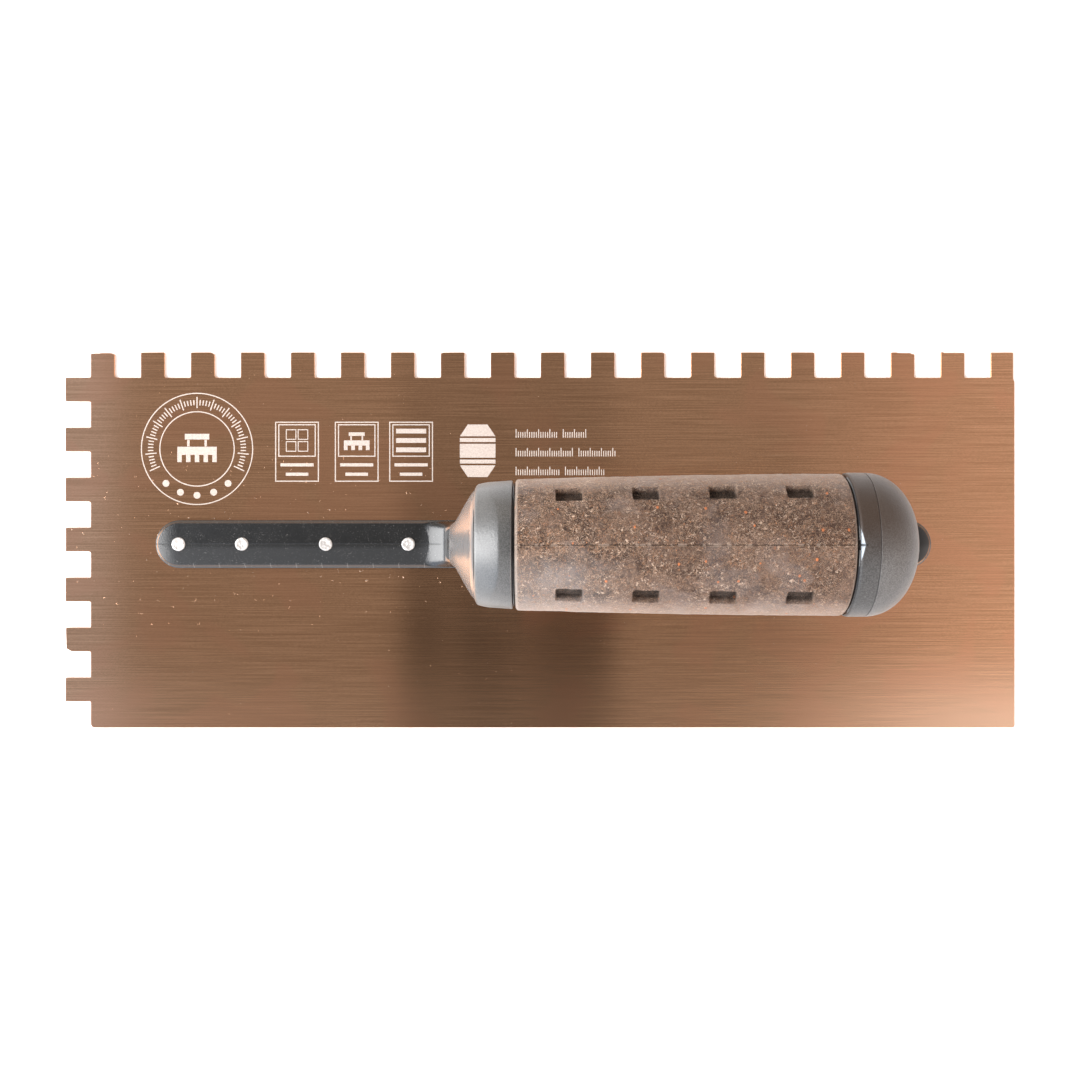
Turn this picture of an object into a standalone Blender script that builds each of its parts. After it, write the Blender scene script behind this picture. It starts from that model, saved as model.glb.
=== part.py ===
"""Notched trowel: a toothed steel blade, riveted to a moulded frame that carries a leather-covered handle.

The blade lies on the ground plane with its long axis along X. Its teeth are on the +Y long edge and the -X
short edge. The frame is one moulding: a mounting bar on the blade, a neck, and the core of the handle. The
collar, the two grip halves, the rear band and their spacer rings are threaded onto that core and held by a
screw and washer, and the end cap is pushed over the washer.
"""

import math

import bmesh
import bpy
from mathutils import Matrix

MM = 0.001
GAP = 0.3 * MM  # clearance left between pieces that touch

# Blade, and the teeth that every length along it follows from.
TOOTH_PITCH = 16.0 * MM
NOTCH_WIDTH = 8.4 * MM
NOTCH_DEPTH = 8.1 * MM
NOTCH_CORNER = 0.6 * MM
LONG_EDGE_TEETH = 19
SHORT_EDGE_TEETH = 7
BODY_WIDTH = 112.0 * MM
BLADE_CORNER = 1.0 * MM
BLADE_THICKNESS = 0.8 * MM

TOOTH_WIDTH = TOOTH_PITCH - NOTCH_WIDTH
BLADE_LENGTH = (LONG_EDGE_TEETH - 1) * TOOTH_PITCH + TOOTH_WIDTH + NOTCH_DEPTH
BLADE_WIDTH = BODY_WIDTH + NOTCH_DEPTH

# Mounting bar: a round-ended strip with a softened top edge, and the studs along it.
HANDLE_Y = -1.3 * MM
BAR_CENTRE = 1.1 * MM
BAR_LENGTH = 245.6 * MM
BAR_HALF_WIDTH = 7.6 * MM
BAR_BOTTOM = BLADE_THICKNESS + GAP
BAR_TOP = 6.6 * MM
BAR_EDGE = 1.0 * MM
# How far each pair of studs is from the bar's centre. The neck's foot takes the room between the first pair.
STUD_REACHES = (115.0 * MM, 95.1 * MM, 68.7 * MM, 42.6 * MM)
EXTRA_STUD_REACH = 14.2 * MM  # one more, behind the neck only

# Studs, as radii and heights.
WELD_RADIUS = 3.2 * MM
WELD_HEIGHT = 0.8 * MM
SHANK_RADIUS = 1.8 * MM
HEAD_RADIUS = 2.3 * MM
HEAD_DEPTH = 0.6 * MM
HEAD_RISE = 0.45 * MM

# Handle, with places along X and radii about its axis.
AXIS_Z = 55.7 * MM
RIM_X = -17.9 * MM
COLLAR_FRONT = RIM_X + GAP
COLLAR_REAR = -7.6 * MM
COLLAR_FRONT_RADIUS = 15.7 * MM
COLLAR_REAR_RADIUS = 17.6 * MM
GRIP_FRONT = -6.6 * MM
GRIP_REAR = 82.1 * MM
GRIP_FRONT_RADIUS = 17.9 * MM
GRIP_REAR_RADIUS = 19.45 * MM
GRIP_SWELL = 0.3 * MM  # how far the middle bows out past a straight taper
GRIP_EDGE = 1.1 * MM
SPACER_THICKNESS = 0.4 * MM
SPACER_INSET = 1.0 * MM  # how far a spacer ring lies below the grip's surface
BAND_FRONT = 83.1 * MM
BAND_REAR = 88.0 * MM
CAP_RADIUS = 19.7 * MM
CAP_FRONT = BAND_REAR + GAP
CAP_REAR = 102.5 * MM
CAP_BLUNTNESS = 2.15  # the power of the superellipse that the cap's outside follows; 2 is an ellipse
CORE_RADIUS = 14.0 * MM
KEY_HALF_WIDTH = 0.8 * MM
KEY_RISE = 1.5 * MM

# Pockets in the grip: four in a row, and a row in each quarter of the grip.
POCKET_LENGTH = 7.1 * MM
POCKET_WIDTH = 4.8 * MM
POCKET_DEPTH = 2.2 * MM
POCKET_PITCH = 20.3 * MM
POCKET_COLUMNS = 4
POCKET_SHIFT = 0.35 * MM  # how far the pockets' middle lies behind the grip's
POCKET_ANGLE = math.radians(47)  # from the vertical
POCKET_CORNER = 0.8 * MM

# Fixing at the rear end, under the cap.
WASHER_RADIUS = 16.0 * MM
WASHER_THICKNESS = 1.5 * MM
SCREW_RADIUS = 2.2 * MM
SCREW_LENGTH = 24.0 * MM
SCREW_POINT = 2.5 * MM
SCREW_HEAD_RADIUS = 4.2 * MM
SCREW_HEAD_HEIGHT = 2.6 * MM
SCREW_SOCKET_RADIUS = 1.8 * MM
SCREW_SOCKET_DEPTH = 1.6 * MM
HOLE_MARGIN = 1.0 * MM  # how far a drilled hole's cutter stands out past the face it starts from

ROUND_STEPS = 40
SMALL_STEPS = 16
WELD_DISTANCE = 0.01 * MM


def material(name, colour, roughness, metallic=0.0):
    made = bpy.data.materials.new(name)
    made.use_nodes = True
    shader = made.node_tree.nodes["Principled BSDF"]
    shader.inputs["Base Color"].default_value = (*colour, 1.0)
    shader.inputs["Roughness"].default_value = roughness
    shader.inputs["Metallic"].default_value = metallic
    return made


def new_collection(name):
    made = bpy.data.collections.new(name)
    bpy.context.scene.collection.children.link(made)
    return made


def place(obj, collection, finish=None, parent=None):
    """Links an object, and marks it as a cutter if it is given no finish."""
    collection.objects.link(obj)
    obj.parent = parent
    if finish:
        obj.data.materials.append(finish)
    else:
        obj.hide_render = True
        obj.display_type = "WIRE"
    return obj


def mesh_object(name, bm, smooth_angle=30):
    mesh = bpy.data.meshes.new(name)
    bm.to_mesh(mesh)
    bm.free()
    mesh.shade_smooth()
    mesh.set_sharp_from_angle(angle=math.radians(smooth_angle))
    return bpy.data.objects.new(name, mesh)


def rounded(corners):
    """The points of an outline from (x, y, radius) corners, each corner with a radius turned into an arc."""
    steps = 3
    points = []
    for i, (x, y, radius) in enumerate(corners):
        before, after = corners[i - 1], corners[(i + 1) % len(corners)]
        if not radius:
            points.append((x, y))
            continue
        back = math.atan2(before[1] - y, before[0] - x)
        ahead = math.atan2(after[1] - y, after[0] - x)
        half = abs(math.remainder(ahead - back, math.tau)) / 2
        middle = back + math.remainder(ahead - back, math.tau) / 2
        reach = radius / math.sin(half)
        centre = (x + reach * math.cos(middle), y + reach * math.sin(middle))
        sweep = math.pi - 2 * half
        turn = -math.copysign(1.0, math.remainder(ahead - back, math.tau))
        for step in range(steps + 1):
            angle = middle + math.pi + turn * sweep * (step / steps - 0.5)
            points.append((centre[0] + radius * math.cos(angle), centre[1] + radius * math.sin(angle)))
    return points


def flat_outline(name, points, bottom, top):
    """A flat piece with that outline, as a filled and extruded 2D curve."""
    curve = bpy.data.curves.new(name, "CURVE")
    curve.dimensions = "2D"
    curve.fill_mode = "BOTH"
    curve.extrude = (top - bottom) / 2
    spline = curve.splines.new("POLY")
    spline.points.add(len(points) - 1)
    for point, (x, y) in zip(spline.points, points):
        point.co = (x, y, 0.0, 1.0)
    spline.use_cyclic_u = True
    obj = bpy.data.objects.new(name, curve)
    obj.location.z = (top + bottom) / 2
    return obj


def curve_to_mesh(obj):
    """The same piece as a mesh with its caps welded on, so that it can be bevelled, cut and joined."""
    bpy.context.scene.collection.objects.link(obj)
    bpy.context.view_layer.update()
    graph = bpy.context.evaluated_depsgraph_get()
    mesh = bpy.data.meshes.new_from_object(obj.evaluated_get(graph))
    bm = bmesh.new()
    bm.from_mesh(mesh)
    bmesh.ops.remove_doubles(bm, verts=bm.verts, dist=WELD_DISTANCE)
    bmesh.ops.recalc_face_normals(bm, faces=bm.faces)
    made = mesh_object(obj.name + "_mesh", bm)
    made.matrix_world = obj.matrix_world.copy()
    bpy.data.objects.remove(obj)
    return made


def box(name, low, high):
    """A box between two corners."""
    size = [b - a for a, b in zip(low, high)]
    centre = [(a + b) / 2 for a, b in zip(low, high)]
    bm = bmesh.new()
    bmesh.ops.create_cube(bm, size=1.0, matrix=Matrix.Translation(centre) @ Matrix.Diagonal((*size, 1.0)))
    return mesh_object(name, bm)


def turned(name, outline, closed=False, steps=ROUND_STEPS):
    """A turned piece from (radius, height) points that run down its outer side, about its local Z axis."""
    bm = bmesh.new()
    ring = [bm.verts.new((radius, 0.0, height)) for radius, height in outline]
    for a, b in zip(ring, ring[1:]):
        bm.edges.new((a, b))
    if closed:
        bm.edges.new((ring[-1], ring[0]))
    obj = mesh_object(name, bm)
    screw = obj.modifiers.new("turn", "SCREW")
    screw.axis = "Z"
    screw.steps = screw.render_steps = steps
    screw.use_merge_vertices = True
    screw.merge_threshold = WELD_DISTANCE
    screw.use_smooth_shade = True
    return obj


def cut(obj, cutter, operation="DIFFERENCE"):
    """Cuts an object by another, or by every object of a collection."""
    modifier = obj.modifiers.new(operation.lower(), "BOOLEAN")
    modifier.operation = operation
    if isinstance(cutter, bpy.types.Collection):
        modifier.operand_type = "COLLECTION"
        modifier.collection = cutter
    else:
        modifier.object = cutter


def blade_outline():
    """Anticlockwise from the lower left corner of the plate, with radii at the roots of the notches."""
    right, left_tip = BLADE_LENGTH / 2, -BLADE_LENGTH / 2
    left = left_tip + NOTCH_DEPTH
    bottom, tip = -BLADE_WIDTH / 2, BLADE_WIDTH / 2
    root = tip - NOTCH_DEPTH
    corners = [(left, bottom, BLADE_CORNER), (right, bottom, BLADE_CORNER)]
    for tooth in range(LONG_EDGE_TEETH):
        start = right - tooth * TOOTH_PITCH
        end = start - TOOTH_WIDTH
        corners += [(start, tip, 0), (end, tip, 0)]
        if tooth < LONG_EDGE_TEETH - 1:
            corners += [(end, root, NOTCH_CORNER), (end - NOTCH_WIDTH, root, NOTCH_CORNER)]
    corners.append((left, root, NOTCH_CORNER))
    for tooth in range(SHORT_EDGE_TEETH):
        start = root - tooth * TOOTH_PITCH
        end = start - TOOTH_WIDTH
        corners += [(left_tip, start, 0), (left_tip, end, 0)]
        corners.append((left, end, NOTCH_CORNER))
        if tooth < SHORT_EDGE_TEETH - 1:
            corners.append((left, end - NOTCH_WIDTH, NOTCH_CORNER))
    return rounded(corners)


def make_blade(parts, steel):
    blade = flat_outline("blade", blade_outline(), 0.0, BLADE_THICKNESS)
    place(blade, parts, steel)


def stud_places():
    """The studs' places along X, from the front."""
    front = [BAR_CENTRE - reach for reach in STUD_REACHES]
    rear = [BAR_CENTRE + reach for reach in STUD_REACHES]
    return front + [BAR_CENTRE + EXTRA_STUD_REACH] + rear[::-1]


def stud_outline(clearance=0.0):
    """A stud's foot, shank and peened head, from top to bottom. With a clearance, the hole that it needs."""
    foot = BLADE_THICKNESS + GAP - 2 * clearance
    top = BAR_TOP + HEAD_RISE + 2 * clearance
    weld_top = BLADE_THICKNESS + GAP + WELD_HEIGHT + clearance
    seat = BAR_TOP - HEAD_DEPTH - clearance
    head, shank, weld = (r + clearance for r in (HEAD_RADIUS, SHANK_RADIUS, WELD_RADIUS))
    crown = head if clearance else 0.6 * head
    return [(0.0, top), (crown, top), (head, BAR_TOP), (head, seat), (shank, seat), (shank, weld_top),
            (weld, weld_top), (weld, foot), (0.0, foot)]


def make_studs(parts, cutters, steel):
    """The studs, and the collection of cutters for their holes in the bar."""
    holes = bpy.data.collections.new("stud_holes")
    cutters.children.link(holes)
    for number, x in enumerate(stud_places(), start=1):
        stud = turned(f"stud_{number:02d}", stud_outline(), steps=SMALL_STEPS)
        hole = turned(f"stud_hole_{number:02d}", stud_outline(GAP), steps=SMALL_STEPS)
        place(stud, parts, steel)
        place(hole, holes)
        for obj in (stud, hole):
            obj.location = (x, HANDLE_Y, 0.0)
    return holes


def stadium(front, rear, half_width):
    """A round-ended outline along X, centred on Y = 0."""
    steps = 16
    points = []
    for centre, start in ((rear - half_width, -90), (front + half_width, 90)):
        for step in range(steps + 1):
            angle = math.radians(start + 180 * step / steps)
            points.append((centre + half_width * math.cos(angle), half_width * math.sin(angle)))
    return points


def make_bar():
    """The mounting bar with its top edge rounded over."""
    outline = stadium(BAR_CENTRE - BAR_LENGTH / 2, BAR_CENTRE + BAR_LENGTH / 2, BAR_HALF_WIDTH)
    bar = curve_to_mesh(flat_outline("frame", outline, BAR_BOTTOM, BAR_TOP))
    bar.location.y = HANDLE_Y
    weights = bar.data.attributes.new("bevel_weight_edge", "FLOAT", "EDGE")
    half_height = (BAR_TOP - BAR_BOTTOM) / 2
    for edge in bar.data.edges:
        ends = [bar.data.vertices[v].co.z for v in edge.vertices]
        sides = [polygon for polygon in bar.data.polygons if set(edge.vertices) <= set(polygon.vertices)]
        rim = min(ends) > half_height / 2 and any(abs(p.normal.z) < 0.5 for p in sides)
        weights.data[edge.index].value = 1.0 if rim else 0.0
    bevel = bar.modifiers.new("top_edge", "BEVEL")
    bevel.limit_method = "WEIGHT"
    bevel.width = BAR_EDGE
    bevel.segments = 3
    return bar


# The neck's sections, from the bar to the rim that backs the collar. Each has the two ends of its
# fore-and-aft diameter (outer x, outer z, inner x, inner z) and its half width, in millimetres, and the
# power of its superellipse, which falls to 2, an ellipse, at the rim.
NECK_SECTIONS = (
    (-36.2, 6.0, -4.2, 6.0, 7.0, 5.0),
    (-33.0, 7.4, -6.4, 7.4, 7.1, 5.0),
    (-30.5, 9.1, -9.0, 9.2, 7.1, 5.0),
    (-28.5, 11.2, -11.2, 12.0, 7.0, 5.0),
    (-27.2, 13.8, -12.7, 15.0, 6.9, 5.0),
    (-26.8, 17.0, -13.8, 18.6, 6.8, 5.0),
    (-26.7, 26.0, -14.9, 24.4, 6.6, 5.0),
    (-26.6, 33.5, -15.9, 30.5, 6.45, 5.0),
    (-26.1, 41.0, -17.0, 35.2, 6.6, 4.4),
    (-25.3, 47.0, -17.7, 38.2, 7.3, 2.9),
    (-23.9, 52.6, -18.1, 39.8, 9.4, 2.3),
    (-22.2, 58.0, -18.3, 40.7, 11.6, 2.1),
    (-20.6, 63.0, -18.4, 41.1, 13.0, 2.0),
    (-19.3, 66.9, -18.5, 41.3, 13.9, 2.0),
    (-18.5, 69.4, -18.5, 41.4, 14.3, 2.0),
)
RIM_GROWTH = 1.07  # from the last section to the rim
NECK_SIDES = 28


def neck_ring(outer_x, outer_z, inner_x, inner_z, half_width, power):
    """The points of one section: a superellipse on the line from its outer to its inner end."""
    points = []
    for side in range(NECK_SIDES):
        angle = math.tau * side / NECK_SIDES
        along, across = (math.copysign(abs(f) ** (2 / power), f) for f in (math.cos(angle), math.sin(angle)))
        x = (outer_x + inner_x) / 2 + along * (outer_x - inner_x) / 2
        z = (outer_z + inner_z) / 2 + along * (outer_z - inner_z) / 2
        points.append((x * MM, HANDLE_Y + across * half_width * MM, z * MM))
    return points


def make_neck():
    """The neck, lofted from the bar's top to the rim behind the collar."""
    rings = [neck_ring(*section) for section in NECK_SECTIONS]
    rings.append([
        (RIM_X, HANDLE_Y + (y - HANDLE_Y) * RIM_GROWTH, AXIS_Z + (z - AXIS_Z) * RIM_GROWTH)
        for _, y, z in rings[-1]
    ])
    bm = bmesh.new()
    loops = [[bm.verts.new(point) for point in ring] for ring in rings]
    for lower, upper in zip(loops, loops[1:]):
        for side in range(NECK_SIDES):
            after = (side + 1) % NECK_SIDES
            bm.faces.new((lower[side], lower[after], upper[after], upper[side]))
    bm.faces.new(loops[0])
    bm.faces.new(loops[-1])
    bmesh.ops.recalc_face_normals(bm, faces=bm.faces)
    return mesh_object("neck", bm)


def make_core():
    """The handle's core, from inside the rim to the rear of the band."""
    front = RIM_X - 2 * GAP
    return turned("core", [(0.0, BAND_REAR), (CORE_RADIUS, BAND_REAR), (CORE_RADIUS, front), (0.0, front)])


def key_box(name, clearance):
    """The ribs that stand along the top and bottom of the core, as one upright plate through it."""
    half = KEY_HALF_WIDTH + clearance
    reach = CORE_RADIUS + KEY_RISE + clearance
    return box(
        name,
        (GRIP_FRONT + GAP - clearance * 2, HANDLE_Y - half, AXIS_Z - reach),
        (GRIP_REAR - GAP + clearance * 2, HANDLE_Y + half, AXIS_Z + reach),
    )


def make_frame(parts, cutters, axis, stud_holes, nylon):
    """The bar, neck and core as one moulding, with its ribs and holes."""
    frame = make_bar()
    frame.name = "frame"
    place(frame, parts, nylon)
    neck = place(make_neck(), cutters)
    core = place(make_core(), cutters, parent=axis)
    key = place(key_box("core_key", 0.0), cutters)
    hole = place(turned("screw_hole", [
        (0.0, BAND_REAR + HOLE_MARGIN), (SCREW_RADIUS + GAP, BAND_REAR + HOLE_MARGIN),
        (SCREW_RADIUS + GAP, BAND_REAR - SCREW_LENGTH), (0.0, BAND_REAR - SCREW_LENGTH),
    ], steps=SMALL_STEPS), cutters, parent=axis)
    cut(core, key, "UNION")
    cut(core, hole)
    cut(frame, neck, "UNION")
    cut(frame, core, "UNION")
    cut(frame, stud_holes)


def grip_radius(x):
    """The grip's outer radius: a taper that bows out a little in the middle."""
    share = (x - GRIP_FRONT) / (GRIP_REAR - GRIP_FRONT)
    taper = GRIP_FRONT_RADIUS + share * (GRIP_REAR_RADIUS - GRIP_FRONT_RADIUS)
    return taper + 4 * GRIP_SWELL * share * (1 - share)


def edge_arc(x_end, x_side, radius_at_end, steps=3):
    """(radius, x) points of a rounded end edge, from the end face round to the side."""
    reach = x_side - x_end
    points = []
    for step in range(steps + 1):
        angle = math.pi / 2 * step / steps
        points.append((
            radius_at_end - abs(reach) * (1 - math.sin(angle)),
            x_end + reach * (1 - math.cos(angle)),
        ))
    return points


def grip_outline():
    """The grip's section from its rear end forward, then back along its bore."""
    steps = 8
    bore = CORE_RADIUS + GAP
    rear_side, front_side = GRIP_REAR - GRIP_EDGE, GRIP_FRONT + GRIP_EDGE
    rear = edge_arc(GRIP_REAR, rear_side, grip_radius(GRIP_REAR))
    front = edge_arc(GRIP_FRONT, front_side, grip_radius(GRIP_FRONT))
    middle = []
    for step in range(1, steps):
        x = rear_side + (front_side - rear_side) * step / steps
        middle.append((grip_radius(x), x))
    return rear + middle + front[::-1] + [(bore, GRIP_FRONT), (bore, GRIP_REAR)]


def pocket_places():
    middle = (GRIP_FRONT + GRIP_REAR) / 2 + POCKET_SHIFT
    return [middle + (i - (POCKET_COLUMNS - 1) / 2) * POCKET_PITCH for i in range(POCKET_COLUMNS)]


def make_pocket_cutters(cutters, axis, side):
    """Round-cornered boxes for one half's pockets. side is 1 for +Y and -1 for -Y."""
    pockets = bpy.data.collections.new("pockets_left" if side > 0 else "pockets_right")
    cutters.children.link(pockets)
    for x in pocket_places():
        floor = grip_radius(x) - POCKET_DEPTH
        for angle in (POCKET_ANGLE, math.pi - POCKET_ANGLE):
            name = f"{pockets.name}_{len(pockets.objects) + 1}"
            pocket = box(
                name,
                (floor, -POCKET_WIDTH / 2, -POCKET_LENGTH / 2),
                (floor + 3 * POCKET_DEPTH, POCKET_WIDTH / 2, POCKET_LENGTH / 2),
            )
            corner = pocket.modifiers.new("corners", "BEVEL")
            corner.width = POCKET_CORNER
            corner.segments = 2
            place(pocket, pockets, parent=axis)
            # The axis empty's own +X points down, so an angle from the top is measured from its -X.
            pocket.rotation_euler.z = math.pi - side * angle
            pocket.location.z = x
    return pockets


def make_grip(parts, cutters, axis, leather):
    """The two halves of the grip, parted on the upright plane through the handle's axis."""
    key = place(key_box("grip_key", GAP), cutters)
    far = 2 * CAP_RADIUS
    for name, side in (("grip_half_left", 1), ("grip_half_right", -1)):
        half = place(turned(name, grip_outline(), closed=True), parts, leather, axis)
        split = sorted((HANDLE_Y + side * GAP / 2, HANDLE_Y - side * far))
        other = place(box(
            name + "_cut",
            (GRIP_FRONT - far, split[0], AXIS_Z - far),
            (GRIP_REAR + far, split[1], AXIS_Z + far),
        ), cutters)
        cut(half, other)
        cut(half, key)
        cut(half, make_pocket_cutters(cutters, axis, side))


def ring(name, rear, front, outside, finish, parts, axis):
    """A ring on the core, given the points of its outer side from rear to front."""
    bore = CORE_RADIUS + GAP
    piece = turned(name, outside + [(bore, front), (bore, rear)], closed=True)
    place(piece, parts, finish, axis)


def make_collar(parts, axis, rubber):
    """The flared ring between the neck's rim and the grip, rounded at both of its ends."""
    edge = 0.8 * MM
    front_edge = edge_arc(COLLAR_FRONT, COLLAR_FRONT + edge, COLLAR_FRONT_RADIUS + edge)
    rear_edge = edge_arc(COLLAR_REAR, COLLAR_REAR - edge / 2, COLLAR_REAR_RADIUS)
    ring("front_collar", COLLAR_REAR, COLLAR_FRONT, rear_edge + front_edge[::-1], rubber, parts, axis)


def make_spacer(name, front, beside_radius, nylon, parts, axis):
    """A thin ring that shows as a groove between two thicker ones."""
    rear = front + SPACER_THICKNESS
    radius = beside_radius - SPACER_INSET
    ring(name, rear, front, [(radius, rear), (radius, front)], nylon, parts, axis)


def make_band(parts, axis, rubber):
    """The ring between the grip and the end cap."""
    edge = 0.5 * MM
    front_edge = edge_arc(BAND_FRONT, BAND_FRONT + edge, CAP_RADIUS - edge / 2)
    outside = [(CAP_RADIUS, BAND_REAR)] + front_edge[::-1]
    ring("rear_band", BAND_REAR, BAND_FRONT, outside, rubber, parts, axis)


def make_cap(parts, axis, rubber):
    """The domed end cap, hollow where it goes over the washer and the screw's head."""
    steps = 10
    outside = []
    for step in range(steps):
        angle = math.pi / 2 * step / steps
        across, along = (f ** (2 / CAP_BLUNTNESS) for f in (math.sin(angle), math.cos(angle)))
        outside.append((CAP_RADIUS * across, CAP_FRONT + along * (CAP_REAR - CAP_FRONT)))
    washer_room, head_room = WASHER_RADIUS + GAP, SCREW_HEAD_RADIUS + 2 * GAP
    washer_end = CAP_FRONT + WASHER_THICKNESS + GAP
    head_end = washer_end + SCREW_HEAD_HEIGHT + 2 * GAP
    cap = turned("end_cap", outside + [
        (CAP_RADIUS, CAP_FRONT), (washer_room, CAP_FRONT), (washer_room, washer_end),
        (head_room, washer_end), (head_room, head_end), (0.0, head_end),
    ])
    place(cap, parts, rubber, axis)


def make_fixing(parts, cutters, axis, steel):
    """The washer that holds the rings and the grip on the core, and the screw with its hexagonal socket."""
    washer_rear = CAP_FRONT + WASHER_THICKNESS
    hole = SCREW_RADIUS + GAP
    washer = turned("cap_washer", [
        (WASHER_RADIUS, washer_rear), (WASHER_RADIUS, CAP_FRONT), (hole, CAP_FRONT), (hole, washer_rear),
    ], closed=True)
    place(washer, parts, steel, axis)

    under_head = washer_rear + GAP
    head_top = under_head + SCREW_HEAD_HEIGHT
    point = BAND_REAR - SCREW_LENGTH + 2 * GAP
    screw = turned("cap_screw", [
        (0.0, head_top), (0.7 * SCREW_HEAD_RADIUS, head_top),
        (SCREW_HEAD_RADIUS, under_head + SCREW_HEAD_HEIGHT / 2), (SCREW_HEAD_RADIUS, under_head),
        (SCREW_RADIUS, under_head), (SCREW_RADIUS, point + SCREW_POINT), (0.0, point),
    ], steps=SMALL_STEPS)
    place(screw, parts, steel, axis)
    bm = bmesh.new()
    bmesh.ops.create_cone(
        bm, cap_ends=True, segments=6, depth=2 * SCREW_SOCKET_DEPTH,
        radius1=SCREW_SOCKET_RADIUS, radius2=SCREW_SOCKET_RADIUS,
    )
    socket = place(mesh_object("screw_socket", bm), cutters, parent=axis)
    socket.location.z = head_top
    cut(screw, socket)


def main():
    for obj in list(bpy.data.objects):
        bpy.data.objects.remove(obj)
    parts = new_collection("notched_trowel")
    cutters = new_collection("cutters")

    steel = material("brushed_steel", (0.70, 0.46, 0.33), 0.25, 1.0)
    stud_steel = material("stud_steel", (0.75, 0.72, 0.70), 0.35, 1.0)
    nylon = material("black_nylon", (0.03, 0.03, 0.032), 0.3)
    rubber = material("grey_rubber", (0.11, 0.11, 0.11), 0.6)
    leather = material("bonded_leather", (0.17, 0.12, 0.09), 0.85)

    # The handle's pieces are turned about this empty's Z axis, which lies along world X.
    axis = bpy.data.objects.new("handle_axis", None)
    parts.objects.link(axis)
    axis.location = (0.0, HANDLE_Y, AXIS_Z)
    axis.rotation_euler = (0.0, math.pi / 2, 0.0)

    make_blade(parts, steel)
    stud_holes = make_studs(parts, cutters, stud_steel)
    make_frame(parts, cutters, axis, stud_holes, nylon)
    make_collar(parts, axis, rubber)
    make_spacer("front_spacer", COLLAR_REAR + GAP, GRIP_FRONT_RADIUS, nylon, parts, axis)
    make_grip(parts, cutters, axis, leather)
    make_spacer("rear_spacer", GRIP_REAR + GAP, GRIP_REAR_RADIUS, nylon, parts, axis)
    make_band(parts, axis, rubber)
    make_cap(parts, axis, rubber)
    make_fixing(parts, cutters, axis, stud_steel)


main()
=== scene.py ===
"""The looks of the notched trowel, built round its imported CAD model: meshes, materials, studio and camera."""

import math
import random

import bmesh
import bpy
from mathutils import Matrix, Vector, noise


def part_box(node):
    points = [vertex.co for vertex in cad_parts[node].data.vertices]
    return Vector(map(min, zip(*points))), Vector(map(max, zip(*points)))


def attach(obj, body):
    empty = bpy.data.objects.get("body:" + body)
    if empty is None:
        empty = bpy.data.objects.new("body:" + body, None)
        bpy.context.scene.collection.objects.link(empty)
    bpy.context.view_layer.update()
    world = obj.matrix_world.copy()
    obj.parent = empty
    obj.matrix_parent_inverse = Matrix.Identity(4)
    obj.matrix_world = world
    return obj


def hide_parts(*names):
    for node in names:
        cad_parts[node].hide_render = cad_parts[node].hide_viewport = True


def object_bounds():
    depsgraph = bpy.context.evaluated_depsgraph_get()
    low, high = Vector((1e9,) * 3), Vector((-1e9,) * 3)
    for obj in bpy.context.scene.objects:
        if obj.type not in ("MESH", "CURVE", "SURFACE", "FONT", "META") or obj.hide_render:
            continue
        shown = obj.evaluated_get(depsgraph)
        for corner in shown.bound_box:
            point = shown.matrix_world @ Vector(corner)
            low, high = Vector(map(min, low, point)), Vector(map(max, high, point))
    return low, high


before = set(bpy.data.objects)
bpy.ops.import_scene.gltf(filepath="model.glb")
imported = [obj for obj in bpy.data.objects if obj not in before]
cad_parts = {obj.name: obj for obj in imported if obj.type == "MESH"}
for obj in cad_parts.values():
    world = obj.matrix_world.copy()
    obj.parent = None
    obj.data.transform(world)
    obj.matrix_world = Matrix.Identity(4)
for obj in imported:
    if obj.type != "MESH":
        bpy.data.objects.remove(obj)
CAD_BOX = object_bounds()

MM = 0.001
BODY = "root"


# ---- Places and sizes, from the frame ----

BLADE_LOW, BLADE_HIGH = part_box("blade")
BLADE_TOP = BLADE_HIGH.z
FRAME_LOW, FRAME_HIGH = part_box("frame")
BAND_LOW, BAND_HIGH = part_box("rear_band")
AXIS_Y = (BAND_LOW.y + BAND_HIGH.y) / 2
AXIS_Z = (BAND_LOW.z + BAND_HIGH.z) / 2
STUDS = sorted(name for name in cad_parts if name.startswith("stud_"))
GRIP_ENDS = [end.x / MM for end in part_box("grip_half_left")]  # along X, in millimetres
GRIP_RADII = (17.9 * MM, 19.45 * MM)  # at the grip's front and rear ends
CORE_RADIUS = 14.0 * MM
BORE = 14.3 * MM
BAR_HALF_WIDTH = 7.6 * MM
BAR_TOP = 6.6 * MM
BAND_LAP = 0.2 * MM  # how far the rear band's front edge laps over the spacer


def ring_span(node):
    """Where a turned node starts and ends along X, and its outer radius."""
    low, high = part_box(node)
    return low.x, high.x, (high.y - low.y) / 2


# ---- Materials ----


class Value:
    """A node's output, for use in formulas with numbers and with other outputs."""

    def __init__(self, nodes, socket):
        self.nodes = nodes
        self.socket = socket

    def __add__(self, other):
        return self.nodes.maths("ADD", self, other)

    def __sub__(self, other):
        return self.nodes.maths("SUBTRACT", self, other)

    def __rsub__(self, other):
        return self.nodes.maths("SUBTRACT", other, self)

    def __mul__(self, other):
        return self.nodes.maths("MULTIPLY", self, other)

    def __truediv__(self, other):
        return self.nodes.maths("DIVIDE", self, other)

    def __abs__(self):
        return self.nodes.maths("ABSOLUTE", self)

    def ramp(self, low, high, to_low=0.0, to_high=1.0, smooth=True):
        """Carries the span low to high over to the span to_low to to_high, and clamps it."""
        inputs = {"Value": self, "From Min": low, "From Max": high, "To Min": to_low, "To Max": to_high}
        kind = "SMOOTHSTEP" if smooth else "LINEAR"
        return self.nodes.value("Result", "ShaderNodeMapRange", inputs, interpolation_type=kind)


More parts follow.
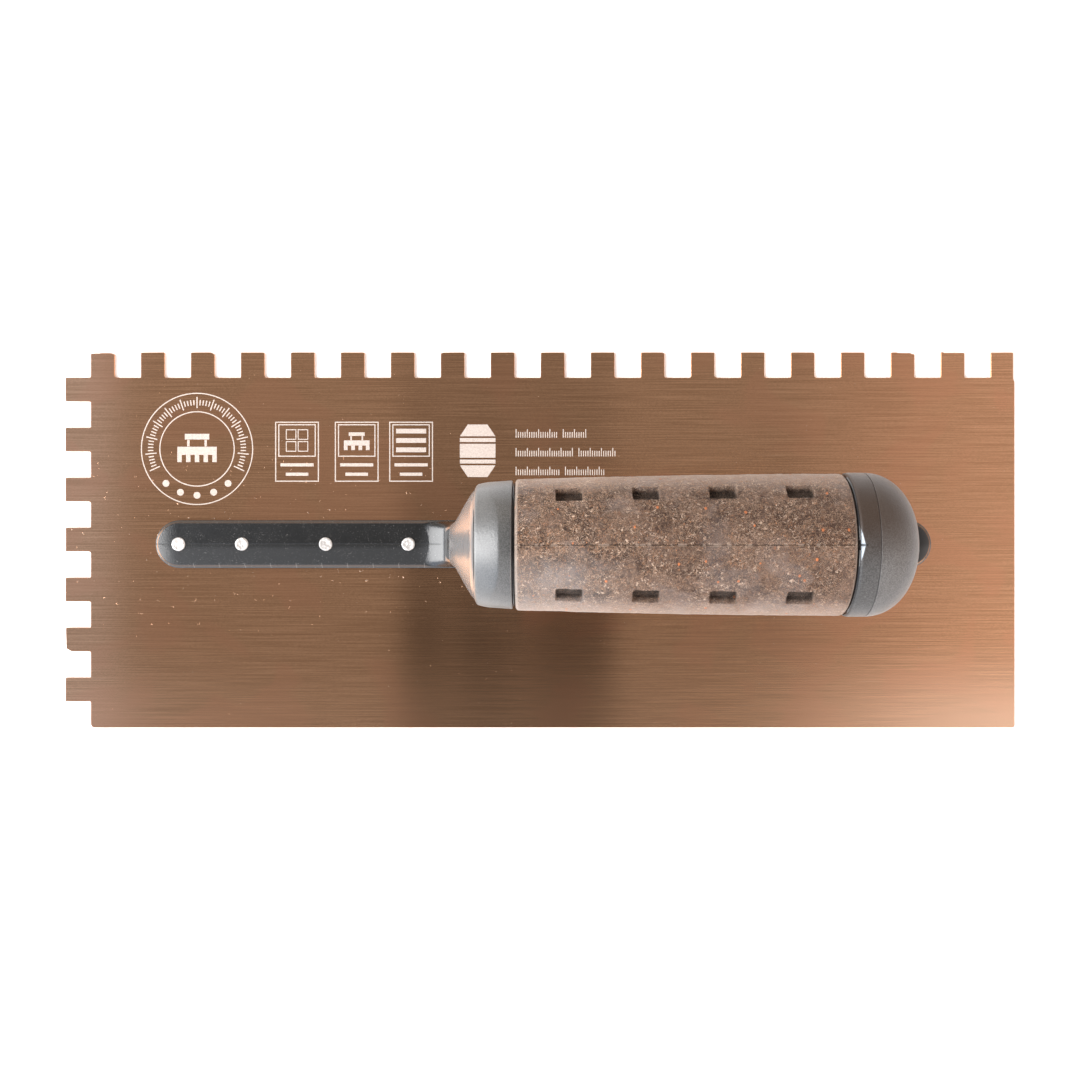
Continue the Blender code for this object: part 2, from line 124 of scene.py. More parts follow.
class Nodes:
    """Adds nodes to a node tree. An input is a number, a colour or a Value."""

    def __init__(self, tree):
        self.tree = tree
        tree.nodes.clear()

    def node(self, kind, inputs=None, **settings):
        """A new node with some settings, and inputs fed by name or number."""
        made = self.tree.nodes.new(kind)
        for name, value in settings.items():
            setattr(made, name, value)
        for name, value in (inputs or {}).items():
            self.feed(made.inputs[name], value)
        return made

    def feed(self, socket, value):
        if isinstance(value, Value):
            self.tree.links.new(value.socket, socket)
        elif isinstance(value, tuple) and socket.type == "RGBA":
            socket.default_value = (*value, 1.0)
        else:
            socket.default_value = value

    def value(self, output, kind, inputs=None, **settings):
        """One output of a new node, by name or number."""
        return Value(self, self.node(kind, inputs, **settings).outputs[output])

    def maths(self, operation, a, b=0.0):
        return self.value(0, "ShaderNodeMath", {0: a, 1: b}, operation=operation)

    def larger(self, a, b):
        return self.maths("MAXIMUM", a, b)

    def blend(self, share, a, b):
        """A number, b where share is 1."""
        return self.value(0, "ShaderNodeMix", {0: share, 2: a, 3: b}, data_type="FLOAT")

    def choose(self, share, a, b):
        """A vector, b where share is 1."""
        return self.value(1, "ShaderNodeMix", {0: share, 4: a, 5: b}, data_type="VECTOR")

    def mix(self, share, a, b):
        """A colour, b where share is 1."""
        return self.value(2, "ShaderNodeMix", {0: share, 6: a, 7: b}, data_type="RGBA")

    def axis_of(self, place, index):
        return self.value(index, "ShaderNodeSeparateXYZ", {0: place})


class Paint(Nodes):
    """A material with one principled shader. Lengths are in millimetres."""

    def __init__(self, name):
        self.material = bpy.data.materials.new(name)
        self.material.use_nodes = True
        super().__init__(self.material.node_tree)
        self.shader = self.node("ShaderNodeBsdfPrincipled")
        self.node("ShaderNodeOutputMaterial", {"Surface": Value(self, self.shader.outputs["BSDF"])})
        self.place = self.scaled((1000, 1000, 1000), self.value("Object", "ShaderNodeTexCoord"))

    def tone(self, share, dark, light):
        """Sets the paint's colour, from dark to light where share goes from 0 to 1."""
        self.colour = self.mix(share, dark, light)

    def coat(self, share, colour):
        """Lays a colour over the paint's colour so far, wholly where share is 1."""
        self.colour = self.mix(share, self.colour, colour)

    def finish(self, **inputs):
        """Sets the shader's inputs, such as roughness, besides its colour, and gives the material."""
        self.feed(self.shader.inputs["Base Color"], self.colour)
        for name, value in inputs.items():
            words = " ".join(word.upper() if word == "ior" else word.capitalize() for word in name.split("_"))
            self.feed(self.shader.inputs[words], value)
        return self.material

    def along(self):
        """How far a point lies along X, in millimetres."""
        return self.axis_of(self.place, 0)

    def across(self):
        """How far a point lies along Y from the handle's middle, in millimetres."""
        return self.axis_of(self.place, 1) - AXIS_Y / MM

    def scaled(self, scale, place=None, rotation=(0.0, 0.0, 0.0), shift=(0.0, 0.0, 0.0)):
        inputs = {"Vector": place or self.place, "Scale": scale, "Rotation": rotation, "Location": shift}
        return self.value("Vector", "ShaderNodeMapping", inputs)

    def noise(self, size, detail=2.0, roughness=0.5, distortion=0.0, place=None):
        """Noise whose features are about size millimetres across, from 0 to 1."""
        inputs = {"Vector": place or self.place, "Scale": 1.0 / size}
        inputs |= {"Detail": detail, "Roughness": roughness, "Distortion": distortion}
        return self.value("Fac", "ShaderNodeTexNoise", inputs)

    def cells(self, size, place=None):
        """Cells about size millimetres across: the distance from a cell's centre, and its random colour."""
        made = self.node("ShaderNodeTexVoronoi", {"Vector": place or self.place, "Scale": 1.0 / size})
        return [Value(self, made.outputs[name]) for name in ("Distance", "Color")]

    def bump(self, height, depth, below=None):
        """Shades a height from 0 to 1 as a relief of depth millimetres, over another one if given."""
        inputs = {"Distance": depth * MM, "Height": height} | ({"Normal": below} if below else {})
        return self.value("Normal", "ShaderNodeBump", inputs)

    def squiggles(self, size, width, place=None, detail=1.5):
        """Thin curling lines: where noise crosses its middle value."""
        level = self.noise(size, detail, 0.55, 0.6, place)
        return abs(level - 0.5).ramp(width * 0.4, width, 1.0, 0.0)


def blade_steel():
    """Copper-toned stainless sheet, brushed along X, with stray scratches, dust, and its near corner at +X
    painted paler, a painted reflection.
    """
    paint = Paint("blade_steel")
    along, across = (paint.axis_of(paint.place, axis) for axis in (0, 1))
    broad = paint.noise(1.0, 3.0, 0.6, place=paint.scaled((0.006, 0.5, 0.0)))
    hairline = paint.noise(1.0, 2.0, 0.7, place=paint.scaled((0.030, 3.6, 0.0)))
    streak = paint.blend(0.92, broad, paint.blend(0.28, hairline, paint.noise(0.30, 1.0)))
    streak = streak.ramp(0.42, 0.62, smooth=False)
    paint.tone(streak, (0.61, 0.330, 0.185), (0.90, 0.508, 0.300))
    warmth = paint.noise(34.0, 2.0, 0.5, 0.6, paint.scaled((1.0, 1.3, 0.0)))
    paint.coat(warmth.ramp(0.5, 0.6, 0.0, 0.45), (0.8, 0.4, 0.235))
    # The near corner at +X is painted paler: a painted reflection of bright surroundings.
    painted_reflection = across.ramp(-28.0, -62.0) * along.ramp(50.0, 150.0, 0.1, 0.6)
    paint.coat(painted_reflection, (0.86, 0.62, 0.47))
    for turn, rarity in ((14, 0.755), (-62, 0.775), (83, 0.78)):
        place = paint.scaled((0.03, 2.4, 0.0), rotation=(0.0, 0.0, math.radians(turn)))
        scratch = paint.noise(1.0, 2.0, 0.5, place=place).ramp(rarity, rarity + 0.03, 0.0, 0.4)
        paint.coat(scratch, (0.95, 0.74, 0.60))
    dust = blade_dust(paint, along, across)
    paint.coat(dust * 0.85, (0.8, 0.68, 0.58))

    hazed = across.ramp(-26.0, -60.0, 0.0, 0.06)
    tangent = paint.value(0, "ShaderNodeTangent", direction_type="UV_MAP", uv_map="brushing")
    return paint.finish(
        metallic=1.0 - dust, anisotropic=1.0, tangent=tangent,
        roughness=paint.blend(dust, hazed + paint.blend(streak, 0.15, 0.13), 0.75),
        normal=paint.bump(dust, 0.04, paint.bump(hairline, 0.0012)),
    )


def blade_dust(paint, along, across):
    """Where dust lies on the blade: specks of two sizes, and lint near the front of the bar."""
    flat = (1.0, 1.0, 0.0)
    lint = paint.squiggles(1.7, 0.010, paint.scaled(flat))
    broken = paint.noise(1.9, 2.0, place=paint.scaled(flat, shift=(5.0, 3.0, 0.0)))
    near_bar = abs(across).ramp(34.0, 10.0) * along.ramp(0.0, -60.0)
    dust = lint * broken.ramp(0.68, 0.71) * near_bar
    for size, reach, rarity in ((1.5, 0.034, 0.74), (3.4, 0.018, 0.60)):
        distance, cell = paint.cells(size, paint.scaled(flat, shift=(size, 2 * size, 0.0)))
        rare = paint.axis_of(cell, 0).ramp(rarity, rarity + 0.02)
        uneven = distance + paint.noise(0.25) * 0.03
        dust = paint.larger(dust, uneven.ramp(reach, reach + 0.02, 1.0, 0.0) * rare)
    return dust


def etched_steel():
    """The frosted steel of the etched marks."""
    paint = Paint("etched_steel")
    grain = paint.noise(0.18, 2.0)
    paint.tone(grain.ramp(0.35, 0.65), (0.44, 0.36, 0.31), (0.62, 0.54, 0.48))
    return paint.finish(roughness=0.7, normal=paint.bump(grain, 0.01))


def stud_steel():
    """Peened steel: pale, with hammer and file marks."""
    paint = Paint("stud_steel")
    fine = paint.noise(0.2, 3.0, 0.6)
    paint.tone(fine.ramp(0.3, 0.7), (0.36, 0.34, 0.32), (0.74, 0.72, 0.7))
    return paint.finish(
        metallic=0.45, roughness=fine.ramp(0.3, 0.7, 0.5, 0.3),
        normal=paint.bump(fine, 0.05, paint.bump(paint.cells(0.9)[0], 0.20)),
    )


def zinc_steel():
    """Bright zinc plate on the hidden screw and washer."""
    paint = Paint("zinc_steel")
    spangle = paint.noise(1.4, 2.0)
    paint.tone(spangle, (0.58, 0.58, 0.56), (0.76, 0.76, 0.75))
    roughness = spangle.ramp(0.3, 0.7, 0.25, 0.42)
    return paint.finish(metallic=1.0, roughness=roughness, normal=paint.bump(spangle, 0.01))


TICK_PITCH = 8.1  # between the small marks along the bar's near bevel, in millimetres


def frame_nylon():
    """Black glass-filled nylon: grained and dusty at the bar's front, glossy behind. The bell is painted grey
    as a painted reflection, the bar's near half painted lighter as painted light, and its bevel painted paler,
    as wear and a painted highlight.
    """
    paint = Paint("frame_nylon")
    along, across, height = paint.along(), paint.across(), paint.axis_of(paint.place, 2)
    away = abs(across)
    raised = paint.larger(height.ramp(7.4, 10.0), along.ramp(0.0, 20.0))
    low = 1.0 - raised
    cloud = paint.noise(6.0, 4.0, 0.65)

    paint.tone(cloud.ramp(0.3, 0.7), (0.003, 0.003, 0.003), (0.007, 0.007, 0.007))
    # The bell is painted grey: a painted reflection on the gloss black.
    bell = height.ramp(10.0, 22.0) * along.ramp(0.0, -8.0)
    paint.coat(bell, (0.120, 0.115, 0.112))
    # The bar's near half is painted a lighter grey: painted light from the near side.
    painted_near_half_light = across.ramp(0.4, -2.0, 0.0, 0.8) * low
    paint.coat(painted_near_half_light, (0.027, 0.028, 0.029))
    dust = paint.noise(0.42, 3.0, 0.75, 0.8).ramp(0.6, 0.72) * cloud.ramp(0.4, 0.65, 0.25, 0.7)
    paint.coat(dust * low, (0.22, 0.21, 0.2))
    parting = away.ramp(0.2, 0.08) * low
    paint.coat(parting * 0.7, (0.003, 0.003, 0.003))
    # The bevel is painted paler: partly edge wear, partly a painted highlight.
    edge = height.ramp(4.8, 5.0) * height.ramp(6.0, 5.8) * away.ramp(4.0, 5.0, 0.3, 1.0)
    paint.coat(edge * 0.35, (0.13, 0.12, 0.11))
    tick = abs(paint.maths("FLOORED_MODULO", along, TICK_PITCH) - 4.0)
    tick = tick.ramp(0.16, 0.06) * across.ramp(-5.9, -6.1) * along.ramp(-20.0, -40.0)
    paint.coat(tick * 0.25, (0.34, 0.33, 0.32))

    grained = paint.bump(paint.cells(0.42)[0], 0.020, paint.bump(paint.noise(0.16, 2.0, 0.6), 0.010))
    grained = paint.bump(1.0 - parting, 0.05, grained)
    smooth = paint.bump(paint.noise(4.0, 1.0), 0.02)
    dusty, glossy = dust.ramp(0.0, 1.0, 0.26, 0.5), bell.ramp(0.0, 1.0, 0.1, 0.24)
    return paint.finish(
        roughness=paint.blend(raised, dusty, glossy), specular_ior_level=0.7,
        normal=paint.choose(raised, grained, smooth),
    )


def spacer_nylon():
    """Gloss black nylon with faint handling marks."""
    paint = Paint("spacer_nylon")
    marks = paint.noise(2.0, 4.0, 0.6)
    paint.tone(marks, (0.008, 0.008, 0.009), (0.02, 0.02, 0.02))
    return paint.finish(roughness=marks.ramp(0.3, 0.7, 0.08, 0.2), normal=paint.bump(marks, 0.02))


def soft_touch(name, dark, light, roughness, shine, far_side_shade=0.0, fade=0.0, wedge=0.0):
    """Matt elastomer with a spark-eroded grain, faint rubs and a velvety rim.

    The last three arguments set painted light and shade: how far the far side is painted darker and browner, as
    painted shade; how pale the collar's front is painted, as a painted highlight; and how bright the band's
    cut-back edge is painted, as a painted glint.
    """
    paint = Paint(name)
    grain = paint.noise(0.36, 3.0, 0.7)
    cloud = paint.noise(9.0, 3.0, 0.6)
    paint.tone(paint.blend(0.3, grain.ramp(0.38, 0.62), cloud), dark, light)
    rubs = paint.noise(1.0, 3.0, 0.6, place=paint.scaled((0.25, 1.3, 1.3)))
    paint.coat(rubs.ramp(0.64, 0.74, 0.0, 0.06), (0.45, 0.43, 0.4))
    paint.coat(paint.noise(0.45, 1.0).ramp(0.7, 0.78, 0.0, 0.5), (0.2, 0.2, 0.19))
    # The far side is painted darker and browner: painted shade.
    paint.coat(paint.across().ramp(-9.0, 9.0, 0.0, far_side_shade), (0.03, 0.014, 0.006))
    roughness = cloud.ramp(0.3, 0.7, roughness - 0.03, roughness + 0.03)
    # The collar's front is painted paler: a painted highlight.
    if fade:
        front, rear, _ = ring_span("front_collar")
        pale = paint.along().ramp(front / MM + 2.0, rear / MM, fade, 0.0)
        paint.coat(pale, (0.16, 0.16, 0.155))
    # The band's cut-back edge is painted pale blue-grey, a painted glint, and its nick black, painted shade.
    if wedge:
        cut, nick = band_wedge(paint, wedge)
        paint.coat(cut, (0.42, 0.47, 0.52))
        paint.coat(nick, (0.0, 0.0, 0.0))
        roughness = paint.blend(cut - nick, roughness, 0.2)
    return paint.finish(
        roughness=roughness, specular_ior_level=shine,
        normal=paint.bump(grain, 0.05, paint.bump(paint.cells(0.5)[0], 0.02)),
        sheen_weight=0.18, sheen_roughness=0.35, sheen_tint=(0.95, 0.92, 0.88),
    )


def band_wedge(paint, strength):
    """Where the rear band's front edge is cut back over the top, painted as a glint, and the nick in the middle
    of that cut, painted as shade.
    """
    into = paint.along() - (ring_span("rear_band")[0] - BAND_LAP) / MM
    away = abs(paint.across())
    slope = into + away * 0.24
    cut = slope.ramp(1.22, 1.08, 0.0, strength) * into.ramp(0.1, 0.25)
    nick = away.ramp(0.36, 0.22, 0.0, strength) * into.ramp(1.9, 1.6)
    return cut, nick


LEATHER_FIBRES = (  # noise size and line width in millimetres and in noise units, shift, colour
    (0.92, 0.029, 0.0, (0.36, 0.22, 0.135)),
    (0.56, 0.033, 37.0, (0.56, 0.37, 0.25)),
    (1.16, 0.022, 71.0, (0.74, 0.55, 0.41)),
    (0.68, 0.025, 113.0, (0.42, 0.20, 0.10)),
)
LEATHER_CHIPS = (  # cell size in millimetres, reach and rarity from 0 to 1, colour
    (3.6, 0.12, 0.55, (0.58, 0.19, 0.07)),
    (1.9, 0.10, 0.70, (0.46, 0.21, 0.10)),
)


def bonded_leather():
    """Pressed leather fibre: dark taupe, matted with tan fibres, rust chips and pale rubbed patches."""
    paint = Paint("bonded_leather")
    patch = paint.noise(9.0, 4.0, 0.6, 0.4)
    clump = paint.noise(2.2, 4.0, 0.62, 0.7)
    grit = paint.noise(0.34, 3.0, 0.65)
    paint.tone(patch.ramp(0.42, 0.6), (0.03, 0.016, 0.011), (0.12, 0.078, 0.058))
    paint.coat(clump.ramp(0.45, 0.7, 0.0, 0.55), (0.17, 0.105, 0.07))
    paint.coat(grit.ramp(0.5, 0.38, 0.0, 0.85), (0.02, 0.012, 0.009))
    sprinkle = grit.ramp(0.56, 0.68, 0.0, 0.6) * clump.ramp(0.35, 0.6)
    paint.coat(sprinkle, (0.42, 0.28, 0.19))
    along, across = paint.along(), paint.across()
    away = abs(across)
    # The grip is painted paler towards its sides: a painted sheen along its outline.
    paint.coat(away.ramp(13.0, 19.0, 0.0, 0.66), (0.47, 0.36, 0.3))
    paint.coat(grit.ramp(0.47, 0.36, 0.0, 0.5), (0.05, 0.03, 0.02))

    relief = paint.bump(clump, 0.22, paint.bump(grit, 0.10))
    for size, width, shift, tint in LEATHER_FIBRES:
        place = paint.scaled((1.0, 1.0, 1.0), shift=(shift, shift / 3, -shift))
        line = paint.squiggles(size, width, place)
        broken = paint.noise(1.5, 3.0, 0.6, 0.0, place).ramp(0.42, 0.52)
        matted = paint.noise(7.0, 3.0, 0.6, 0.3, place).ramp(0.38, 0.56, 0.25, 1.0)
        fibre = line * (broken * matted)
        paint.coat(fibre * 0.85, tint)
        relief = paint.bump(fibre, 0.07, relief)

    for size, reach, rarity, tint in LEATHER_CHIPS:
        distance, cell = paint.cells(size, paint.scaled((1.0, 0.8, 1.0), shift=(size, 0.0, 3 * size)))
        ragged = distance + paint.noise(0.5, 2.0) * 0.05
        chip = ragged.ramp(reach, reach + 0.02, 1.0, 0.0) * paint.axis_of(cell, 1).ramp(rarity, rarity + 0.03)
        paint.coat(chip, tint)
        relief = paint.bump(chip, 0.08, relief)

    rubbed = paint.noise(13.0, 3.0, 0.55, 0.3, paint.scaled((1.0, 1.0, 1.0), shift=(9.0, 4.0, 2.0)))
    rubbed = rubbed.ramp(0.5, 0.66)
    paint.coat(rubbed * 0.16, (0.28, 0.25, 0.245))
    front, rear = GRIP_ENDS
    trimmed = along.ramp(front + 0.9, front + 0.4)
    trimmed = paint.larger(trimmed, along.ramp(rear - 0.7, rear - 0.2))
    paint.coat(trimmed * 0.5, (0.42, 0.34, 0.28))
    paint.coat(along.ramp(6.0, 32.0, 0.0, 0.26), (0.05, 0.024, 0.014))
    greyed = along.ramp(30.0, 0.0, 0.0, 0.22) * across.ramp(0.0, -8.0)
    paint.coat(greyed, (0.36, 0.35, 0.345))
    frayed = paint.noise(3.0, 2.0, 0.6, 0.0, paint.scaled((1.0, 0.2, 0.2))).ramp(0.52, 0.56, 0.0, 0.4)
    paint.coat(away.ramp(0.4, 0.2) * frayed, (0.60, 0.46, 0.36))
    # The pockets are painted darker: painted shade.
    paint.coat(pocket_shade(paint), (0.012, 0.009, 0.007))
    roughness = paint.blend(paint.larger(rubbed * 0.5, trimmed), 0.8, 0.42)
    return paint.finish(
        roughness=roughness, normal=relief,
        sheen_weight=0.16, sheen_roughness=0.35, sheen_tint=(1.0, 0.86, 0.74), specular_ior_level=0.25,
    )


def pocket_shade(paint):
    """How far a point is painted darker, as painted shade, for lying below the grip's surface: 0 at the
    surface, and 0.72 on the pockets' floors.
    """
    across, up = paint.across(), paint.axis_of(paint.place, 2) - AXIS_Z / MM
    radius = paint.maths("SQRT", across * across + up * up)
    front_radius, rear_radius = (end / MM for end in GRIP_RADII)
    surface = paint.along().ramp(*GRIP_ENDS, front_radius, rear_radius, smooth=False)
    return (surface - radius).ramp(0.4, 1.7, 0.0, 0.72)


def floor_paper():
    """White background paper with a faint tooth."""
    paint = Paint("floor_paper")
    tooth = paint.noise(0.9, 3.0, 0.6)
    paint.tone(tooth, (0.93, 0.93, 0.93), (0.96, 0.96, 0.96))
    return paint.finish(roughness=0.9, normal=paint.bump(tooth, 0.02), specular_ior_level=0.2)


# ---- Mesh helpers ----


def linked(name, data):
    """A new object with that data, in the scene."""
    obj = bpy.data.objects.new(name, data)
    bpy.context.scene.collection.objects.link(obj)
    return obj


def solid(name, bm):
    """A new object with that mesh, its faces turned outwards."""
    bmesh.ops.recalc_face_normals(bm, faces=bm.faces)
    mesh = bpy.data.meshes.new(name)
    bm.to_mesh(mesh)
    bm.free()
    return linked(name, mesh)


def finish_piece(name, bm, material, nodes, sharp=40):
    obj = solid(name, bm)
    obj.data.shade_smooth()
    obj.data.set_sharp_from_angle(angle=math.radians(sharp))
    obj.data.materials.append(material)
    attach(obj, BODY)
    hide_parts(*nodes)


def bridge(bm, lower, upper):
    """Faces between two closed loops of the same number of vertices."""
    for i, vert in enumerate(lower):
        after = (i + 1) % len(lower)
        bm.faces.new((vert, lower[after], upper[after], upper[i]))


def loft(bm, rings):
    """Adds a closed solid through rings of the same number of points."""
    loops = [[bm.verts.new(point) for point in ring] for ring in rings]
    for lower, upper in zip(loops, loops[1:]):
        bridge(bm, lower, upper)
    bm.faces.new(loops[0][::-1])
    bm.faces.new(loops[-1])


def polar(x, y, reach, angle):
    return x + reach * math.cos(angle), y + reach * math.sin(angle)


def about_axis(along, radius, angle):
    """A point about the handle's axis, at an angle from the top towards +Y."""
    return along, AXIS_Y + radius * math.sin(angle), AXIS_Z + radius * math.cos(angle)


def lathe(profile, steps=144, centre=None):
    """A mesh turned about the handle's axis, or an upright one at centre, from (along, radius) points."""
    bm = bmesh.new()
    rows = []
    for along, radius in profile:
        angles = [math.tau * i / steps for i in range(steps if radius else 1)]
        if centre is None:
            points = [about_axis(along, radius, angle) for angle in angles]
        else:
            points = [(*polar(*centre, radius, angle), along) for angle in angles]
        rows.append([bm.verts.new(point) for point in points])
    closed = len(rows[0]) > 1 and len(rows[-1]) > 1
    pairs = list(zip(rows, rows[1:])) + ([(rows[-1], rows[0])] if closed else [])
    for a, b in pairs:
        if len(a) > 1 and len(b) > 1:
            bridge(bm, a, b)
        else:
            tip, loop = (a[0], b) if len(a) == 1 else (b[0], a)
            for i, vert in enumerate(loop):
                bm.faces.new((tip, vert, loop[(i + 1) % steps]))
    return bm


def arc(centre_along, centre_radius, reach, start, end, steps=8):
    """(along, radius) points of a circular arc, with angles in degrees from +along towards +radius."""
    angles = (math.radians(start + (end - start) * i / steps) for i in range(steps + 1))
    return [polar(centre_along, centre_radius, reach, angle) for angle in angles]


def smooth_step(value):
    value = min(1.0, max(0.0, value))
    return value * value * (3 - 2 * value)


# ---- Blade ----

TOOTH_PITCH = 16.0 * MM
NOTCH_WIDTH = 8.4 * MM
NOTCH_DEPTH = 8.1 * MM
TOOTH_WIDTH = TOOTH_PITCH - NOTCH_WIDTH
LONG_EDGE_TEETH = math.ceil((BLADE_HIGH.x - BLADE_LOW.x - NOTCH_DEPTH) / TOOTH_PITCH)
SHORT_EDGE_TEETH = 7
SHOULDER = 0.4 * MM  # how far the last tooth stands in from the plate's end
TIP_RADIUS = 0.35 * MM
ROOT_RADIUS = 0.6 * MM
UV_RATE = 3  # UV units to a metre

# Teeth that came out of the press ragged, numbered along the long edge from the plate's +X end: points across
# the tip, each as a share of the tooth's width and how far it falls short, in millimetres.
WORN_TIPS = {
    0: ((0.0, 0.0), (1.0, 0.05)),
    1: ((0.0, 0.12), (0.86, 0.12), (0.93, -0.12), (1.0, 0.0)),
    2: ((0.0, 0.55), (0.10, 0.50), (0.16, 0.22), (0.70, 0.16), (0.76, 0.0), (1.0, 0.0)),
    7: ((0.0, 0.25), (0.07, 0.0), (1.0, 0.0)),
    11: ((0.0, 0.0), (0.90, 0.05), (1.0, 0.3)),
    16: ((0.0, 0.75), (0.12, 0.1), (0.2, 0.0), (1.0, 0.0)),
    18: ((0.0, 0.60), (0.09, 0.55), (0.14, 0.22), (0.55, 0.20), (0.66, 0.36), (1.0, 0.42)),
}


def tooth_tip(number, rng):
    """(share of width, shortfall) points across a tooth's tip."""
    if number in WORN_TIPS:
        return [(share, drop * MM) for share, drop in WORN_TIPS[number]]
    slope = rng.uniform(-0.05, 0.05) * MM
    return [(0.0, max(0.0, slope)), (1.0, max(0.0, -slope))]


def corner_arc(before, corner, after, radius, steps=4):
    """The points that round one corner of an outline."""
    x, y = corner
    back = math.atan2(before[1] - y, before[0] - x)
    ahead = math.atan2(after[1] - y, after[0] - x)
    turn = math.remainder(ahead - back, math.tau)
    half = abs(turn) / 2
    if half > math.radians(84):
        return [corner]
    room = 0.45 * min(math.dist(before, corner), math.dist(corner, after)) * math.tan(half)
    radius = min(radius, room)
    middle = back + turn / 2
    centre = polar(x, y, radius / math.sin(half), middle)
    sweep = math.copysign(math.pi - 2 * half, -turn)
    angles = (middle + math.pi + sweep * (i / steps - 0.5) for i in range(steps + 1))
    return [polar(*centre, radius, angle) for angle in angles]


def blade_outline():
    """Anticlockwise from the plate's lower left corner, with worn tips and rounded roots."""
    rng = random.Random(4)
    right, left_tip = BLADE_HIGH.x, BLADE_LOW.x
    left, root = left_tip + NOTCH_DEPTH, BLADE_HIGH.y - NOTCH_DEPTH
    bottom, tip = BLADE_LOW.y, BLADE_HIGH.y
    corners = [(left, bottom, 1.2 * MM), (right, bottom, 0.8 * MM), (right, root - 1.3 * MM, 0.2 * MM)]
    corners.append((right - SHOULDER, root - 0.3 * MM, 0.2 * MM))
    for tooth in range(LONG_EDGE_TEETH):
        start = right - tooth * TOOTH_PITCH
        end = start - TOOTH_WIDTH
        if tooth == 0:
            start -= SHOULDER
        for share, drop in tooth_tip(tooth, rng):
            corners.append((start + share * (end - start), tip - drop, TIP_RADIUS * rng.uniform(0.4, 1.3)))
        if tooth < LONG_EDGE_TEETH - 1:
            near, far = ROOT_RADIUS * rng.uniform(0.3, 0.7), ROOT_RADIUS * rng.uniform(0.6, 1.4)
            corners += [(end, root, near), (end - NOTCH_WIDTH, root, far)]
    corners.append((left, root, ROOT_RADIUS))
    for tooth in range(SHORT_EDGE_TEETH):
        start = root - tooth * TOOTH_PITCH
        end = start - TOOTH_WIDTH
        inset = rng.uniform(0.0, 0.12) * MM * (tooth > 0)
        corners.append((left_tip + inset, start, TIP_RADIUS * rng.uniform(0.3, 1.2)))
        if tooth == SHORT_EDGE_TEETH - 2:  # one tooth is worn thin along its lower side
            corners += [(left_tip + 0.3 * MM, end + 0.9 * MM, 0.3 * MM), (left_tip + 2.0 * MM, end, 0.6 * MM)]
        else:
            corners.append((left_tip + inset, end, TIP_RADIUS * rng.uniform(0.4, 1.3)))
        corners.append((left, end, ROOT_RADIUS * rng.uniform(0.5, 1.2)))
        if tooth < SHORT_EDGE_TEETH - 1:
            corners.append((left, end - NOTCH_WIDTH, ROOT_RADIUS * rng.uniform(0.5, 1.2)))
    points = []
    for i, (x, y, radius) in enumerate(corners):
        before, after = corners[i - 1][:2], corners[(i + 1) % len(corners)][:2]
        points += corner_arc(before, (x, y), after, radius)
    return points


def make_blade(material):
    """The plate as an extruded outline with a fine broken edge. Its UVs run across the brushing, the way
    that brushed metal spreads a reflection."""
    edge = 0.09 * MM
    outline = blade_outline()
    inner = []
    for i, (x, y) in enumerate(outline):
        ax, ay = outline[i - 1]
        bx, by = outline[(i + 1) % len(outline)]
        along = Vector((bx - ax, by - ay)).normalized()
        inner.append((x - along.y * edge, y + along.x * edge))
    bottom = BLADE_LOW.z
    levels = ((inner, bottom), (outline, bottom + edge), (outline, BLADE_TOP - edge), (inner, BLADE_TOP))
    bm = bmesh.new()
    loft(bm, [[(x, y, z) for x, y in points] for points, z in levels])
    uv = bm.loops.layers.uv.new("brushing")
    for face in bm.faces:
        for loop in face.loops:
            loop[uv].uv = (0.5 + loop.vert.co.y * UV_RATE, 0.5 - loop.vert.co.x * UV_RATE)
    finish_piece("blade_sheet", bm, material, ["blade"], 25)


# ---- Etched marks: plain generic signs, with bars where words would be ----

LINE = 0.34 * MM
MARK_LOW, MARK_HIGH = BLADE_TOP - 0.01 * MM, BLADE_TOP + 0.02 * MM


def prism(bm, points):
    """A very thin solid with that outline, standing just proud of the blade."""
    loft(bm, [[(x, y, z) for x, y in points] for z in (MARK_LOW, MARK_HIGH)])


def bar_mark(bm, x, y, width, height, turn=0.0):
    """A rectangle about (x, y)."""
    c, s = math.cos(turn), math.sin(turn)
    points = []
    for u, v in ((-1, -1), (1, -1), (1, 1), (-1, 1)):
        du, dv = u * width / 2, v * height / 2
        points.append((x + du * c - dv * s, y + du * s + dv * c))
    prism(bm, points)


def ring_mark(bm, x, y, radius, line=LINE, steps=96):
    low, high = [], []
    for z, loops in ((MARK_LOW, low), (MARK_HIGH, high)):
        for r in (radius - line / 2, radius + line / 2):
            angles = (math.tau * i / steps for i in range(steps))
            loops.append([bm.verts.new((*polar(x, y, r, angle), z)) for angle in angles])
    bridge(bm, low[0], high[0])
    bridge(bm, low[1], high[1])
    bridge(bm, high[0], high[1])
    bridge(bm, low[0], low[1])


def dot_mark(bm, x, y, radius, steps=20):
    prism(bm, [polar(x, y, radius, math.tau * i / steps) for i in range(steps)])


def frame_mark(bm, x, y, width, height, line=LINE):
    for sign in (-1, 1):
        bar_mark(bm, x, y + sign * (height - line) / 2, width, line)
        bar_mark(bm, x + sign * (width - line) / 2, y, line, height - 2 * line - 0.01 * MM)


